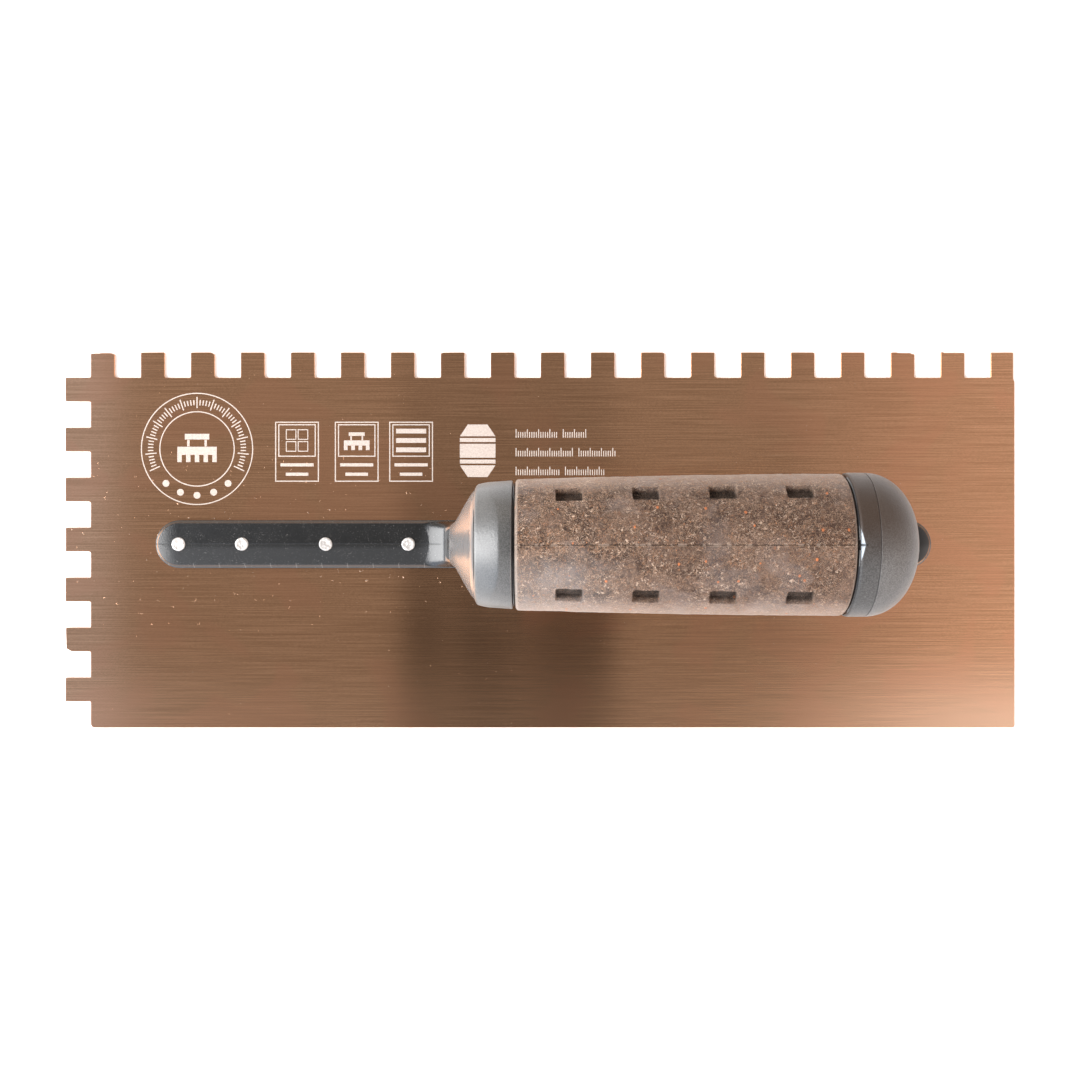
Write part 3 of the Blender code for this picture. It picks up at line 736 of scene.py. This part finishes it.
def notch_mark(bm, x, y, width, height, teeth=4):
    """The side view of a square-notched edge with a handle over it."""
    pitch = width / (2 * teeth - 1)
    plate = height * 0.30
    bar_mark(bm, x, y, width, plate)
    for i in range(teeth):
        tooth_x = x - width / 2 + pitch * (2 * i + 0.5)
        bar_mark(bm, tooth_x, y - plate / 2 - plate * 0.45 - 0.01 * MM, pitch, plate * 0.9)
    for side in (-1, 1):
        bar_mark(bm, x + side * width * 0.22, y + plate * 0.95, width * 0.06, plate * 0.8)
    bar_mark(bm, x, y + plate * 1.75, width * 0.62, plate * 0.7)


def tile_mark(bm, x, y, size):
    """Four tiles with joints between them."""
    tile = size * 0.44
    for u in (-1, 1):
        for v in (-1, 1):
            frame_mark(bm, x + u * size / 4, y + v * size / 4, tile, tile, LINE * 0.8)


def slab_mark(bm, x, y, half_width, half_height, cuts):
    """A solid eight-sided shape, cut across at some heights (shares of its half height)."""

    def width_at(share):
        return half_width * min(1.0, 1.55 - abs(share))

    gap = 0.035
    corner = 0.55
    levels = [-1.0] + sorted(cuts) + [1.0]
    for low, high in zip(levels, levels[1:]):
        low, high = low + gap * (low > -1), high - gap * (high < 1)
        stops = [low] + [c for c in (-corner, corner) if low < c < high] + [high]
        right = [(x + width_at(t), y + t * half_height) for t in stops]
        left = [(x - width_at(t), y + t * half_height) for t in reversed(stops)]
        prism(bm, right + left)


def scale_mark(bm, left, y, groups):
    """Groups of upright graduations, like those of a rule, every fifth one taller."""
    step = 0.72 * MM
    for group in groups:
        for i in range(group):
            tall = 2.7 if i % 5 == 0 else 1.8
            bar_mark(bm, left, y + tall * MM / 2, 0.3 * MM, tall * MM)
            left += step
        left += 1.4 * MM


def graduated_ring(bm, x, y):
    """Two rings with graduations between them over the top, and dots along the bottom."""
    outer, inner = 17.8 * MM, 11.9 * MM
    ring_mark(bm, x, y, outer)
    ring_mark(bm, x, y, inner)
    reach = (outer + inner) / 2
    ticks = 61
    for i in range(ticks):
        turn = math.radians(-25 + 230 * i / (ticks - 1))
        length = (3.6 if i % 5 == 0 else 1.7) * MM
        bar_mark(bm, *polar(x, y, reach, turn), length, 0.36 * MM, turn)
    for i in range(5):
        dot_mark(bm, *polar(x, y, reach, math.radians(-132 + 21 * i)), 1.1 * MM)


def boxed_sign(bm, x, y, number):
    """A box with a picture in its own frame, over two rows of short bars."""
    width, height = 14.0 * MM, 19.2 * MM
    frame_mark(bm, x, y, width, height)
    picture_y = y + 3.6 * MM
    frame_mark(bm, x, picture_y, width - 2.0 * MM, 10.4 * MM)
    if number == 0:
        tile_mark(bm, x, picture_y, 7.6 * MM)
    elif number == 1:
        notch_mark(bm, x, picture_y - 0.8 * MM, 8.2 * MM, 5.4 * MM)
    else:
        for i in range(3):
            bar_mark(bm, x, picture_y + (i - 1) * 3.0 * MM, 9.6 * MM, 1.5 * MM)
    bar_mark(bm, x, y - 4.2 * MM, 10.6 * MM, 1.0 * MM)
    bar_mark(bm, x, y - 7.2 * MM, 7.2 * MM, 1.0 * MM)


def make_marks(material):
    bm = bmesh.new()
    front, row = BLADE_LOW.x, BLADE_HIGH.y - 30.9 * MM
    emblem = front + 42.1 * MM
    graduated_ring(bm, emblem, row)
    notch_mark(bm, emblem, row - 0.6 * MM, 12.6 * MM, 8.6 * MM, teeth=5)
    for number, along in enumerate((74.1, 93.2, 110.6)):
        boxed_sign(bm, front + along * MM, row - 0.9 * MM, number)
    slab_mark(bm, front + 131.9 * MM, row - 0.6 * MM, 5.7 * MM, 8.4 * MM, (-0.52, -0.30, 0.30, 0.52))
    left = front + 144.2 * MM
    for below, groups in ((0.0, (19, 11)), (6.0, (26, 17)), (12.0, (20, 18))):
        scale_mark(bm, left, row + 3.6 * MM - below * MM, groups)
    finish_piece("etched_marks", bm, material, [], 30)


# ---- Studs and frame ----

# A stud head's section, as (height above the bar's top in millimetres, share of the head's radius).
HEAD_SECTION = (
    (-0.7, 0.98), (0.08, 1.0), (0.24, 0.99), (0.38, 0.93), (0.45, 0.82), (0.46, 0.68), (0.38, 0.6),
    (0.42, 0.35), (0.46, 0.0),
)


def make_stud(node, material, rng):
    """A peened stud: a spread, slightly lopsided head with a dished top, over a shank and a welded foot."""
    low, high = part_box(node)
    x, y = (low.x + high.x) / 2, (low.y + high.y) / 2
    foot, face = low.z, BAR_TOP
    head, shank, weld = 2.12 * MM, 1.8 * MM, 3.15 * MM
    profile = [
        (foot, 0.0), (foot, weld), (foot + 0.7 * MM, weld), (foot + 0.8 * MM, weld - 0.1 * MM),
        (foot + 0.8 * MM, shank), (face + HEAD_SECTION[0][0] * MM, shank),
    ]
    profile += [(face + up * MM, head * share) for up, share in HEAD_SECTION]
    bm = lathe(profile, 48, centre=(x, y))
    seed = Vector((rng.uniform(0, 50), rng.uniform(0, 50), 0.0))
    lean = Vector((rng.uniform(-0.06, 0.06), rng.uniform(-0.06, 0.06)))
    for vert in bm.verts:
        if vert.co.z < face - 0.1 * MM:
            continue
        spread = noise.noise((vert.co - Vector((x, y, 0.0))).normalized() * 1.6 + seed)
        vert.co.x = x + (vert.co.x - x) * (1 + 0.10 * spread)
        vert.co.y = y + (vert.co.y - y) * (1 + 0.10 * spread)
        vert.co.z += (vert.co.x - x) * lean.x + (vert.co.y - y) * lean.y
        vert.co.z += 0.07 * MM * noise.noise(vert.co * 900 + seed)
    finish_piece(node.replace("stud", "peened_stud"), bm, material, [node], 50)


BAR_CROWN = 0.5 * MM  # how far the middle of the bar's top stands above the inside of its bevel

# The bar's section, as (distance in from the side, height against the bevel's inside), in millimetres.
BAR_SECTION = (
    (0.0, -1.5), (0.07, -1.3), (0.22, -1.18), (0.40, -1.12), (0.50, -1.02), (0.58, -0.88), (0.98, -0.16),
    (1.12, -0.04), (1.35, 0.0),
)


def stadium(front, rear, half_width, z, around=20, along=40):
    """A round-ended loop about the bar's middle line."""
    points = []
    for centre, other, start in ((rear, front, -90), (front, rear, 90)):
        side = half_width if start < 0 else -half_width
        for i in range(around + 1):
            angle = math.radians(start + 180 * i / around)
            points.append((*polar(centre, AXIS_Y, half_width, angle), z))
        for i in range(1, along):
            points.append((centre + (other - centre) * i / along, AXIS_Y + side, z))
    return points


def make_bar():
    """The mounting bar: upright sides, a stepped bevel and a gently crowned top."""
    shoulder = BAR_TOP - BAR_CROWN
    front, rear = FRAME_LOW.x + BAR_HALF_WIDTH, FRAME_HIGH.x - BAR_HALF_WIDTH
    sections = [(0.25 * MM, FRAME_LOW.z), (0.0, FRAME_LOW.z + 0.25 * MM)]
    sections += [(inset * MM, shoulder + height * MM) for inset, height in BAR_SECTION]
    flat = BAR_SECTION[-1][0] * MM
    steps = 12
    for i in range(1, steps + 1):
        share = i / steps
        inset = flat + (BAR_HALF_WIDTH - flat - 0.05 * MM) * share
        sections.append((inset, shoulder + BAR_CROWN * (1 - (1 - share) ** 2)))
    bm = bmesh.new()
    loft(bm, [stadium(front, rear, BAR_HALF_WIDTH - inset, z) for inset, z in sections])
    return bm


# The neck's sections above its fillet, up to the rim in front of the collar: the ends of the fore-and-aft
# diameter (outer x, outer z, inner x, inner z) and the half width, in millimetres, and the superellipse's
# power, which falls to 2, an ellipse, at the rim. The last few are the bell.
NECK_SECTIONS = (
    (-26.8, 25.0, -14.8, 24.0, 6.6, 6.0),
    (-26.6, 33.5, -15.9, 30.5, 6.45, 5.6),
    (-26.1, 41.0, -17.0, 35.2, 6.6, 4.4),
    (-25.3, 47.0, -17.7, 38.2, 7.3, 2.9),
    (-23.9, 52.6, -18.1, 39.8, 9.4, 2.3),
    (-22.2, 58.0, -18.3, 40.7, 11.6, 2.1),
    (-20.6, 63.0, -18.4, 41.1, 13.0, 2.0),
    (-19.3, 66.9, -18.5, 41.3, 13.9, 2.0),
    (-18.5, 69.4, -18.5, 41.4, 14.3, 2.0),
)
NECK_FOOT = (-38.5, 6.15, -2.5, 6.2, 7.3)  # where the fillet leaves the bar, in the same order
NECK_ROOT = (-26.8, 16.3, -13.6, 18.0, 6.75)  # where it ends, upright
RIM_GROWTH = 1.075  # from the last section to the rim
NECK_SIDES = 96
NECK_STEPS = 6  # rings from one section to the next
FILLET_POWER = 6.0


def blended(rows, t):
    """A smooth (Catmull-Rom) blend of rows of numbers, at t rows from the first."""
    i = min(int(t), len(rows) - 2)
    u = t - i
    a, b, c, d = (rows[min(max(i + k, 0), len(rows) - 1)] for k in (-1, 0, 1, 2))
    return [
        q + 0.5 * u * (r - p + u * (2 * p - 5 * q + 4 * r - s + u * (3 * q - p - 3 * r + s)))
        for p, q, r, s in zip(a, b, c, d)
    ]


def neck_ring(outer_x, outer_z, inner_x, inner_z, half_width, power):
    points = []
    for side in range(NECK_SIDES):
        angle = math.tau * side / NECK_SIDES
        along, across = (math.copysign(abs(f) ** (2 / power), f) for f in (math.cos(angle), math.sin(angle)))
        x = (outer_x + inner_x) / 2 + along * (outer_x - inner_x) / 2
        z = (outer_z + inner_z) / 2 + along * (outer_z - inner_z) / 2
        points.append((x * MM, AXIS_Y + across * half_width * MM, z * MM))
    return points


def neck_fillet(steps=10):
    """Sections on a quarter ellipse at each end, level at the foot and upright at the root."""
    sections = []
    for i in range(steps + 1):
        angle = math.pi / 2 * i / steps
        along, up = math.sin(angle), 1 - math.cos(angle)
        ways = (along, up, along, up, along)
        section = [foot + (root - foot) * way for foot, root, way in zip(NECK_FOOT, NECK_ROOT, ways)]
        sections.append(section + [FILLET_POWER])
    return sections


def make_neck():
    """The swan neck and the bell, lofted up to the rim."""
    sections = neck_fillet() + list(NECK_SECTIONS)
    last = len(sections) - 1
    rim = ring_span("front_collar")[0] - 0.02 * MM
    rings = [neck_ring(*blended(sections, step / NECK_STEPS)) for step in range(last * NECK_STEPS + 1)]
    rings.append([
        (rim, AXIS_Y + (y - AXIS_Y) * RIM_GROWTH, AXIS_Z + (z - AXIS_Z) * RIM_GROWTH) for _, y, z in rings[-1]
    ])
    bm = bmesh.new()
    loft(bm, rings)
    return bm


def make_frame(material):
    """The bar, the neck and the core joined into one moulding."""
    front, rear = ring_span("front_collar")[0] - 0.5 * MM, BAND_HIGH.x
    bar, neck = solid("bar", make_bar()), solid("neck", make_neck())
    core = solid("core", lathe([(front, 0.0), (front, CORE_RADIUS), (rear, CORE_RADIUS), (rear, 0.0)], 96))
    for other in (neck, core):
        union = bar.modifiers.new("union", "BOOLEAN")
        union.operation = "UNION"
        union.object = other
    bpy.context.view_layer.update()
    graph = bpy.context.evaluated_depsgraph_get()
    bm = bmesh.new()
    bm.from_mesh(bpy.data.meshes.new_from_object(bar.evaluated_get(graph)))
    for obj in (bar, neck, core):
        bpy.data.objects.remove(obj)
    finish_piece("frame_moulding", bm, material, ["frame"], 28)


# ---- Handle ----

POCKET_LENGTH = 7.1 * MM
POCKET_WIDTH = 4.7 * MM
POCKET_DEPTH = 2.2 * MM
POCKET_PITCH = 20.3 * MM
POCKET_COLUMNS = 4
POCKET_ANGLE = math.radians(47)
POCKET_SHIFT = 0.35 * MM
POCKET_WALL = 0.3 * MM
GRIP_SWELL = 0.3 * MM
GRIP_EDGE = 1.0 * MM
GRAIN_STEP = 0.42 * MM
GRAIN_RELIEF = ((110, 0.10 * MM), (420, 0.055 * MM), (1100, 0.05 * MM), (2100, 0.035 * MM))  # rate, height


def ring_surface(profile, steps=180):
    """Like lathe, for a profile that changes round the ring: profile(up) is its points, up being 1 on top."""
    bm = bmesh.new()
    columns = []
    for i in range(steps):
        angle = math.tau * i / steps
        columns.append([bm.verts.new(about_axis(*point, angle)) for point in profile(math.cos(angle))])
    for i, column in enumerate(columns):
        bridge(bm, column, columns[(i + 1) % steps])
    return bm


def make_collar(material):
    """The flared ring in front of the grip. On top it falls further towards the front than at the sides."""
    front, rear, radius = ring_span("front_collar")
    rear += 0.15 * MM
    steps = 30
    lip = 0.3 * MM

    def drop_at(share, up):
        """How far the surface lies below the rear rim's radius."""
        reach = 0.40 + 0.29 * smooth_step((up - 0.45) / 0.55)
        top = 3.7 * MM * reach * max(0.0, 1 - share / reach) ** 1.1 + 0.08 * MM * (1 - share)
        side = 0.72 * MM * (1 - share) + 0.55 * MM * max(0.0, 1 - share / 0.45) ** 2
        weight = smooth_step((up - 0.15) / 0.7)
        corner = (0.75 - 0.25 * weight) * MM * (1 - min(1.0, share / 0.085)) ** 2.2
        return side + (top - side) * weight + corner

    def profile(up):
        shares = [i / steps for i in range(steps + 1)]
        points = [(front + (rear - lip - front) * share, radius - drop_at(share, up)) for share in shares]
        points += arc(rear - lip, radius - lip, lip, 90, 0, 5)[1:]
        return points + [(rear, BORE), (front, BORE)]

    finish_piece("soft_collar", ring_surface(profile), material, ["front_collar"], 50)


def make_front_spacer(material):
    """A gloss ring with rounded edges at the bottom of the groove behind the collar."""
    front, rear, radius = ring_span("front_spacer")
    edge = 0.15 * MM
    profile = arc(front + edge, radius - edge, edge, 180, 90, 4)
    profile += arc(rear - edge, radius - edge, edge, 90, 0, 4) + [(rear, BORE), (front, BORE)]
    finish_piece("front_gloss_ring", lathe(profile), material, ["front_spacer"])


def make_rear_spacer(material):
    """A gloss ring that shows as a sloping sliver between leather and band, nicked at the seam."""
    front, rear, radius = ring_span("rear_spacer")
    rear += 0.1 * MM
    low, high = radius + 0.42 * MM, radius + 0.70 * MM
    nick = 0.9985  # the cosine of the nick's half angle

    def profile(up):
        depth = 0.6 * MM if up > nick else 0.0
        edge = 0.06 * MM
        return [
            (front, low - 0.2 * MM - depth), (front + edge, low - depth), (rear - edge, high - depth),
            (rear, high - 0.1 * MM - depth), (rear, BORE), (front, BORE),
        ]

    ring = ring_surface(profile, 360)
    finish_piece("rear_gloss_ring", ring, material, ["rear_spacer"])


def make_band(material):
    """The ring in front of the end cap. Its front edge is cut back in a wedge over the top, about a nick."""
    front, rear, radius = ring_span("rear_band")
    front -= BAND_LAP
    rear += 0.1 * MM
    seam, reach = 0.12 * MM, 1.3 * MM
    wedge, nick = math.radians(14), math.radians(0.7)
    edge = arc(front + 0.35 * MM, radius - 0.62 * MM, 0.35 * MM, 180, 128, 4)
    for i in range(6):
        into = (0.5 + 0.2 * i) * MM
        edge.append((front + into, radius - 0.13 * MM * (1 - into / reach)))

    def profile(up):
        angle = math.acos(min(1.0, up))
        end = front + 0.2 * MM + 1.1 * MM * max(0.0, 1 - angle / wedge)
        depth = 0.5 * MM if angle < nick else 0.0
        points = []
        for along, out in edge:
            cut = 0.55 * max(0.0, end - along)
            points.append((along, out - cut - depth * max(0.0, 1 - (along - front) / reach)))
        return points + [(rear - seam, radius), (rear, radius - seam), (rear, BORE), (front, BORE)]

    finish_piece("soft_band", ring_surface(profile, 720), material, ["rear_band"])


def make_dome(material):
    """The end cap: a blunt dome outside, and a shell inside."""
    front, rear, radius = ring_span("end_cap")
    front -= 0.11 * MM
    bluntness = 2.15
    wall, depth = 3.4 * MM, 4.9 * MM
    seam = 0.12 * MM
    steps = 40
    outside = []
    for i in range(steps + 1):
        angle = math.pi / 2 * i / steps
        across, along = (f ** (2 / bluntness) for f in (math.cos(angle), math.sin(angle)))
        outside.append((front + along * (rear - front), radius * across))
    outside[0] = (front, radius - seam)
    outside.insert(1, (front + seam, radius))
    outside[-1] = (rear, 0.0)
    inside = [(front + depth, 0.0), (front + depth, radius - wall), (front, radius - wall)]
    finish_piece("soft_dome", lathe(inside + outside), material, ["end_cap"])


def finer_near(low, high, step, marks, reach, fine):
    """Values from low to high, step apart, and fine apart within reach of each mark."""
    values = [low]
    while values[-1] < high:
        here = values[-1]
        near = any(abs(here - mark) < reach for mark in marks)
        values.append(here + (fine if near else step))
    scale = (high - low) / (values[-1] - low)
    return [low + (value - low) * scale for value in values]


def pocket_share(x, angle, radius, pocket_x, pocket_angle, seed):
    """How deep a point lies in one pocket: 0 outside, 1 on its floor."""
    along = abs(x - pocket_x)
    across = abs(math.remainder(angle - pocket_angle, math.tau)) * radius
    if along > POCKET_LENGTH or across > POCKET_WIDTH:
        return 0.0
    ragged = 0.16 * MM * noise.noise(Vector((x * 1400, angle * 24, seed)))
    corner = 0.7 * MM
    half_length, half_width = POCKET_LENGTH / 2 + ragged, POCKET_WIDTH / 2 + ragged
    dx, dy = along - (half_length - corner), across - (half_width - corner)
    outside = math.hypot(max(dx, 0.0), max(dy, 0.0)) + min(max(dx, dy), 0.0) - corner
    return smooth_step(0.5 - outside / POCKET_WALL)


def make_grip_half(name, node, side, material):
    """Half the grip as a closed shell, whose outside is a fine grid with pockets, seam lips and a grain.

    Angles are about the handle's axis, from the top towards side, which is 1 for +Y and -1 for -Y.
    """
    low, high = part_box(node)
    front, rear = low.x - 0.1 * MM, high.x + 0.15 * MM
    front_radius, rear_radius = GRIP_RADII
    middle = (front + rear) / 2 + POCKET_SHIFT
    pocket_xs = [middle + (i - (POCKET_COLUMNS - 1) / 2) * POCKET_PITCH for i in range(POCKET_COLUMNS)]
    pocket_angles = (POCKET_ANGLE, math.pi - POCKET_ANGLE)
    pockets = [(x, side * a, 7.0 * x / MM + side * a) for x in pocket_xs for a in pocket_angles]

    def radius_at(x):
        share = (x - front) / (rear - front)
        radius = front_radius + share * (rear_radius - front_radius) + 4 * GRIP_SWELL * share * (1 - share)
        for inward in (x - front, rear - x):
            if inward < GRIP_EDGE:
                radius -= GRIP_EDGE - math.sqrt(max(0.0, GRIP_EDGE**2 - (GRIP_EDGE - inward) ** 2))
        return radius

    mean = (front_radius + rear_radius) / 2
    near, fine = 0.4 * MM, 0.1 * MM
    marks = [x + s * POCKET_LENGTH / 2 for x in pocket_xs for s in (-1, 1)]
    xs = finer_near(front, rear, GRAIN_STEP, marks, near, fine)
    ends = [GRIP_EDGE * (1 - math.cos(math.pi / 2 * i / 6)) for i in range(6)]
    xs = [front + e for e in ends] + [x for x in xs if front + GRIP_EDGE <= x <= rear - GRIP_EDGE]
    xs += [rear - e for e in reversed(ends)]
    seam = 0.08 * MM / mean
    marks = [a + s * POCKET_WIDTH / 2 / mean for a in pocket_angles for s in (-1, 1)]
    angles = finer_near(seam, math.pi - seam, GRAIN_STEP / mean, marks, near / mean, fine / mean)
    lips = [lip * MM / mean for lip in (0.0, 0.05, 0.12, 0.22)]
    angles = [a for a in angles if seam + lips[-1] < a < math.pi - seam - lips[-1]]
    angles = [seam + lip for lip in lips] + angles + [math.pi - seam - lip for lip in reversed(lips)]

    bm = bmesh.new()
    grid = []
    for x in xs:
        base = radius_at(x)
        fade = smooth_step(min(x - front, rear - x) / (1.2 * MM))
        row = []
        for around in angles:
            angle = side * around
            spot = Vector((x, base * math.sin(angle), base * math.cos(angle)))
            depth = max(pocket_share(x, angle, base, *pocket) for pocket in pockets)
            lip = min(around - seam, math.pi - seam - around) * base
            relief = sum(height * noise.noise(spot * rate) for rate, height in GRAIN_RELIEF)
            worn = 0.07 * MM + 0.09 * MM * noise.noise(Vector((x * 260, side * 3.0, around)))
            relief -= max(0.0, worn) * (1 - smooth_step(lip / (0.22 * MM)))
            radius = base + relief * (0.25 + 0.75 * fade) - depth * POCKET_DEPTH
            row.append(bm.verts.new(about_axis(x, radius, angle)))
        grid.append(row)
    for a, b in zip(grid, grid[1:]):
        for i in range(len(angles) - 1):
            bm.faces.new((a[i], a[i + 1], b[i + 1], b[i]))
    bores = []
    for x in (front, rear):
        bores.append([bm.verts.new(about_axis(x, BORE, side * around)) for around in angles])
    for i in range(len(angles) - 1):
        bm.faces.new((bores[0][i], bores[0][i + 1], grid[0][i + 1], grid[0][i]))
        bm.faces.new((bores[1][i], bores[1][i + 1], grid[-1][i + 1], grid[-1][i]))
        bm.faces.new((bores[0][i], bores[0][i + 1], bores[1][i + 1], bores[1][i]))
    for i in (0, -1):
        bm.faces.new([bores[0][i]] + [row[i] for row in grid] + [bores[1][i]])
    finish_piece(name, bm, material, [node], 60)


# ---- Studio ----

FLOOR_HALF = 4.0
CAMERA_HEIGHT = 0.384  # over the blade's top


def make_floor(material):
    mesh = bpy.data.meshes.new("floor")
    corners = [(x * FLOOR_HALF, y * FLOOR_HALF, 0.0) for x, y in ((-1, -1), (1, -1), (1, 1), (-1, 1))]
    mesh.from_pydata(corners, [], [(0, 1, 2, 3)])
    mesh.materials.append(material)
    floor = linked("floor", mesh)
    floor.location.z = BLADE_LOW.z - 0.05 * MM


def softbox(name, toward, distance, width, height, radiance, colour=(1.0, 1.0, 1.0)):
    """An area light in the direction toward, facing the handle, its width level. radiance is per area."""
    data = bpy.data.lights.new(name, "AREA")
    data.shape = "RECTANGLE"
    data.size, data.size_y = width, height
    data.energy = radiance * math.pi * width * height
    data.color = colour
    light = linked(name, data)
    back = Vector(toward).normalized()
    light.location = Vector((0.0, 0.0, 0.05)) + back * distance
    light.rotation_mode = "QUATERNION"
    light.rotation_quaternion = back.to_track_quat("Z", "Y")


def make_world():
    """The room: a bright horizon, a dimmer ceiling, and a dark gap overhead where the camera hangs.

    The gap's edges run along Y. The blade mirrors them as soft upright bands, because its brushing spreads
    reflections along Y and keeps them narrow along X.
    """
    world = bpy.data.worlds.new("studio")
    world.use_nodes = True
    bpy.context.scene.world = world
    room = Nodes(world.node_tree)
    toward = room.value("Generated", "ShaderNodeTexCoord")
    up = room.larger(room.axis_of(toward, 2), 0.05)
    u = room.axis_of(toward, 0) / up
    v = room.axis_of(toward, 1) / up

    def between(value, low, high, soft):
        """1 from low to high, and 0 outside."""
        rise = value.ramp(low - soft, low + soft)
        return rise * value.ramp(high + soft, high - soft)

    overhead = up.ramp(0.72, 0.9)
    level = room.blend(overhead, 1.0, v.ramp(-0.05, 0.06, 0.29, 0.36))
    near_side = v.ramp(0.03, -0.1)
    gap = between(u, -0.116, 0.062, 0.008)
    glimmer = between(u, -0.084, -0.066, 0.01) * v.ramp(-0.02, -0.25, 0.15, 0.5)
    glimmer = glimmer + between(u, -0.034, 0.0, 0.014) * 0.22
    gap = gap * (1.0 - glimmer) * room.blend(near_side, 0.16, 0.97) * between(v, -0.42, 0.6, 0.12)
    level = level * (1.0 - gap)
    left = u.ramp(-0.335, -0.375)
    right = u.ramp(0.17, 0.42) * room.blend(near_side, 0.55, 1.7)
    level = level * (left * 0.45 + right + 1.0)
    far_side = room.axis_of(toward, 1).ramp(0.15, 0.7) * (1.0 - overhead)
    level = level * (1.0 - far_side * 0.35)
    tint = room.mix(overhead, (1.0, 1.0, 1.0), (1.0, 0.96, 0.92))
    tint = room.mix(left, tint, (1.0, 1.15, 1.40))
    tint = room.mix(u.ramp(0.17, 0.3), tint, (1.04, 0.93, 0.88))
    tint = room.mix(far_side, tint, (1.0, 0.88, 0.78))
    background = room.value(0, "ShaderNodeBackground", {"Color": tint, "Strength": level})
    room.node("ShaderNodeOutputWorld", {"Surface": background})


def make_camera():
    """Straight above the blade's middle, near enough for the handle to look larger than the blade."""
    data = bpy.data.cameras.new("camera")
    data.sensor_width = 36.0
    data.lens = 40.0
    data.clip_start = 0.01
    camera = linked("camera", data)
    centre = (CAD_BOX[0] + CAD_BOX[1]) / 2
    camera.location = (centre.x, centre.y, BLADE_TOP + CAMERA_HEIGHT)
    bpy.context.scene.camera = camera


def main():
    make_camera()
    make_world()
    bpy.context.scene.view_settings.view_transform = "Standard"
    softbox("front_softbox", (-0.87, -0.04, 0.49), 2.5, 2.0, 2.5, 8.5, (1.0, 0.98, 0.95))
    softbox("near_softbox", (0.62, -0.75, 0.75), 2.5, 1.6, 1.1, 2.2)
    softbox("far_softbox", (0.1, 1.0, 0.6), 2.5, 1.8, 0.7, 0.7, (1.0, 0.88, 0.76))
    make_floor(floor_paper())

    make_blade(blade_steel())
    make_marks(etched_steel())
    peened = stud_steel()
    rng = random.Random(11)
    for node in STUDS:
        make_stud(node, peened, rng)
    make_frame(frame_nylon())
    gloss = spacer_nylon()
    make_front_spacer(gloss)
    make_rear_spacer(gloss)
    dark, light = (0.016, 0.016, 0.015), (0.086, 0.086, 0.084)
    make_collar(soft_touch("collar_grey", dark, light, 0.36, 0.9, fade=0.35))
    dark, light = (0.024, 0.023, 0.022), (0.072, 0.070, 0.068)
    make_band(soft_touch("band_dark", dark, light, 0.48, 0.35, far_side_shade=0.8, wedge=0.75))
    dark, light = (0.040, 0.037, 0.035), (0.125, 0.120, 0.115)
    make_dome(soft_touch("dome_grey", dark, light, 0.48, 0.42, far_side_shade=0.8))
    leather = bonded_leather()
    for side, half in ((1, "left"), (-1, "right")):
        make_grip_half(f"leather_{half}", f"grip_half_{half}", side, leather)
    zinc = zinc_steel()
    for node in ("cap_screw", "cap_washer"):
        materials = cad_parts[node].data.materials
        materials.clear()
        materials.append(zinc)


main()
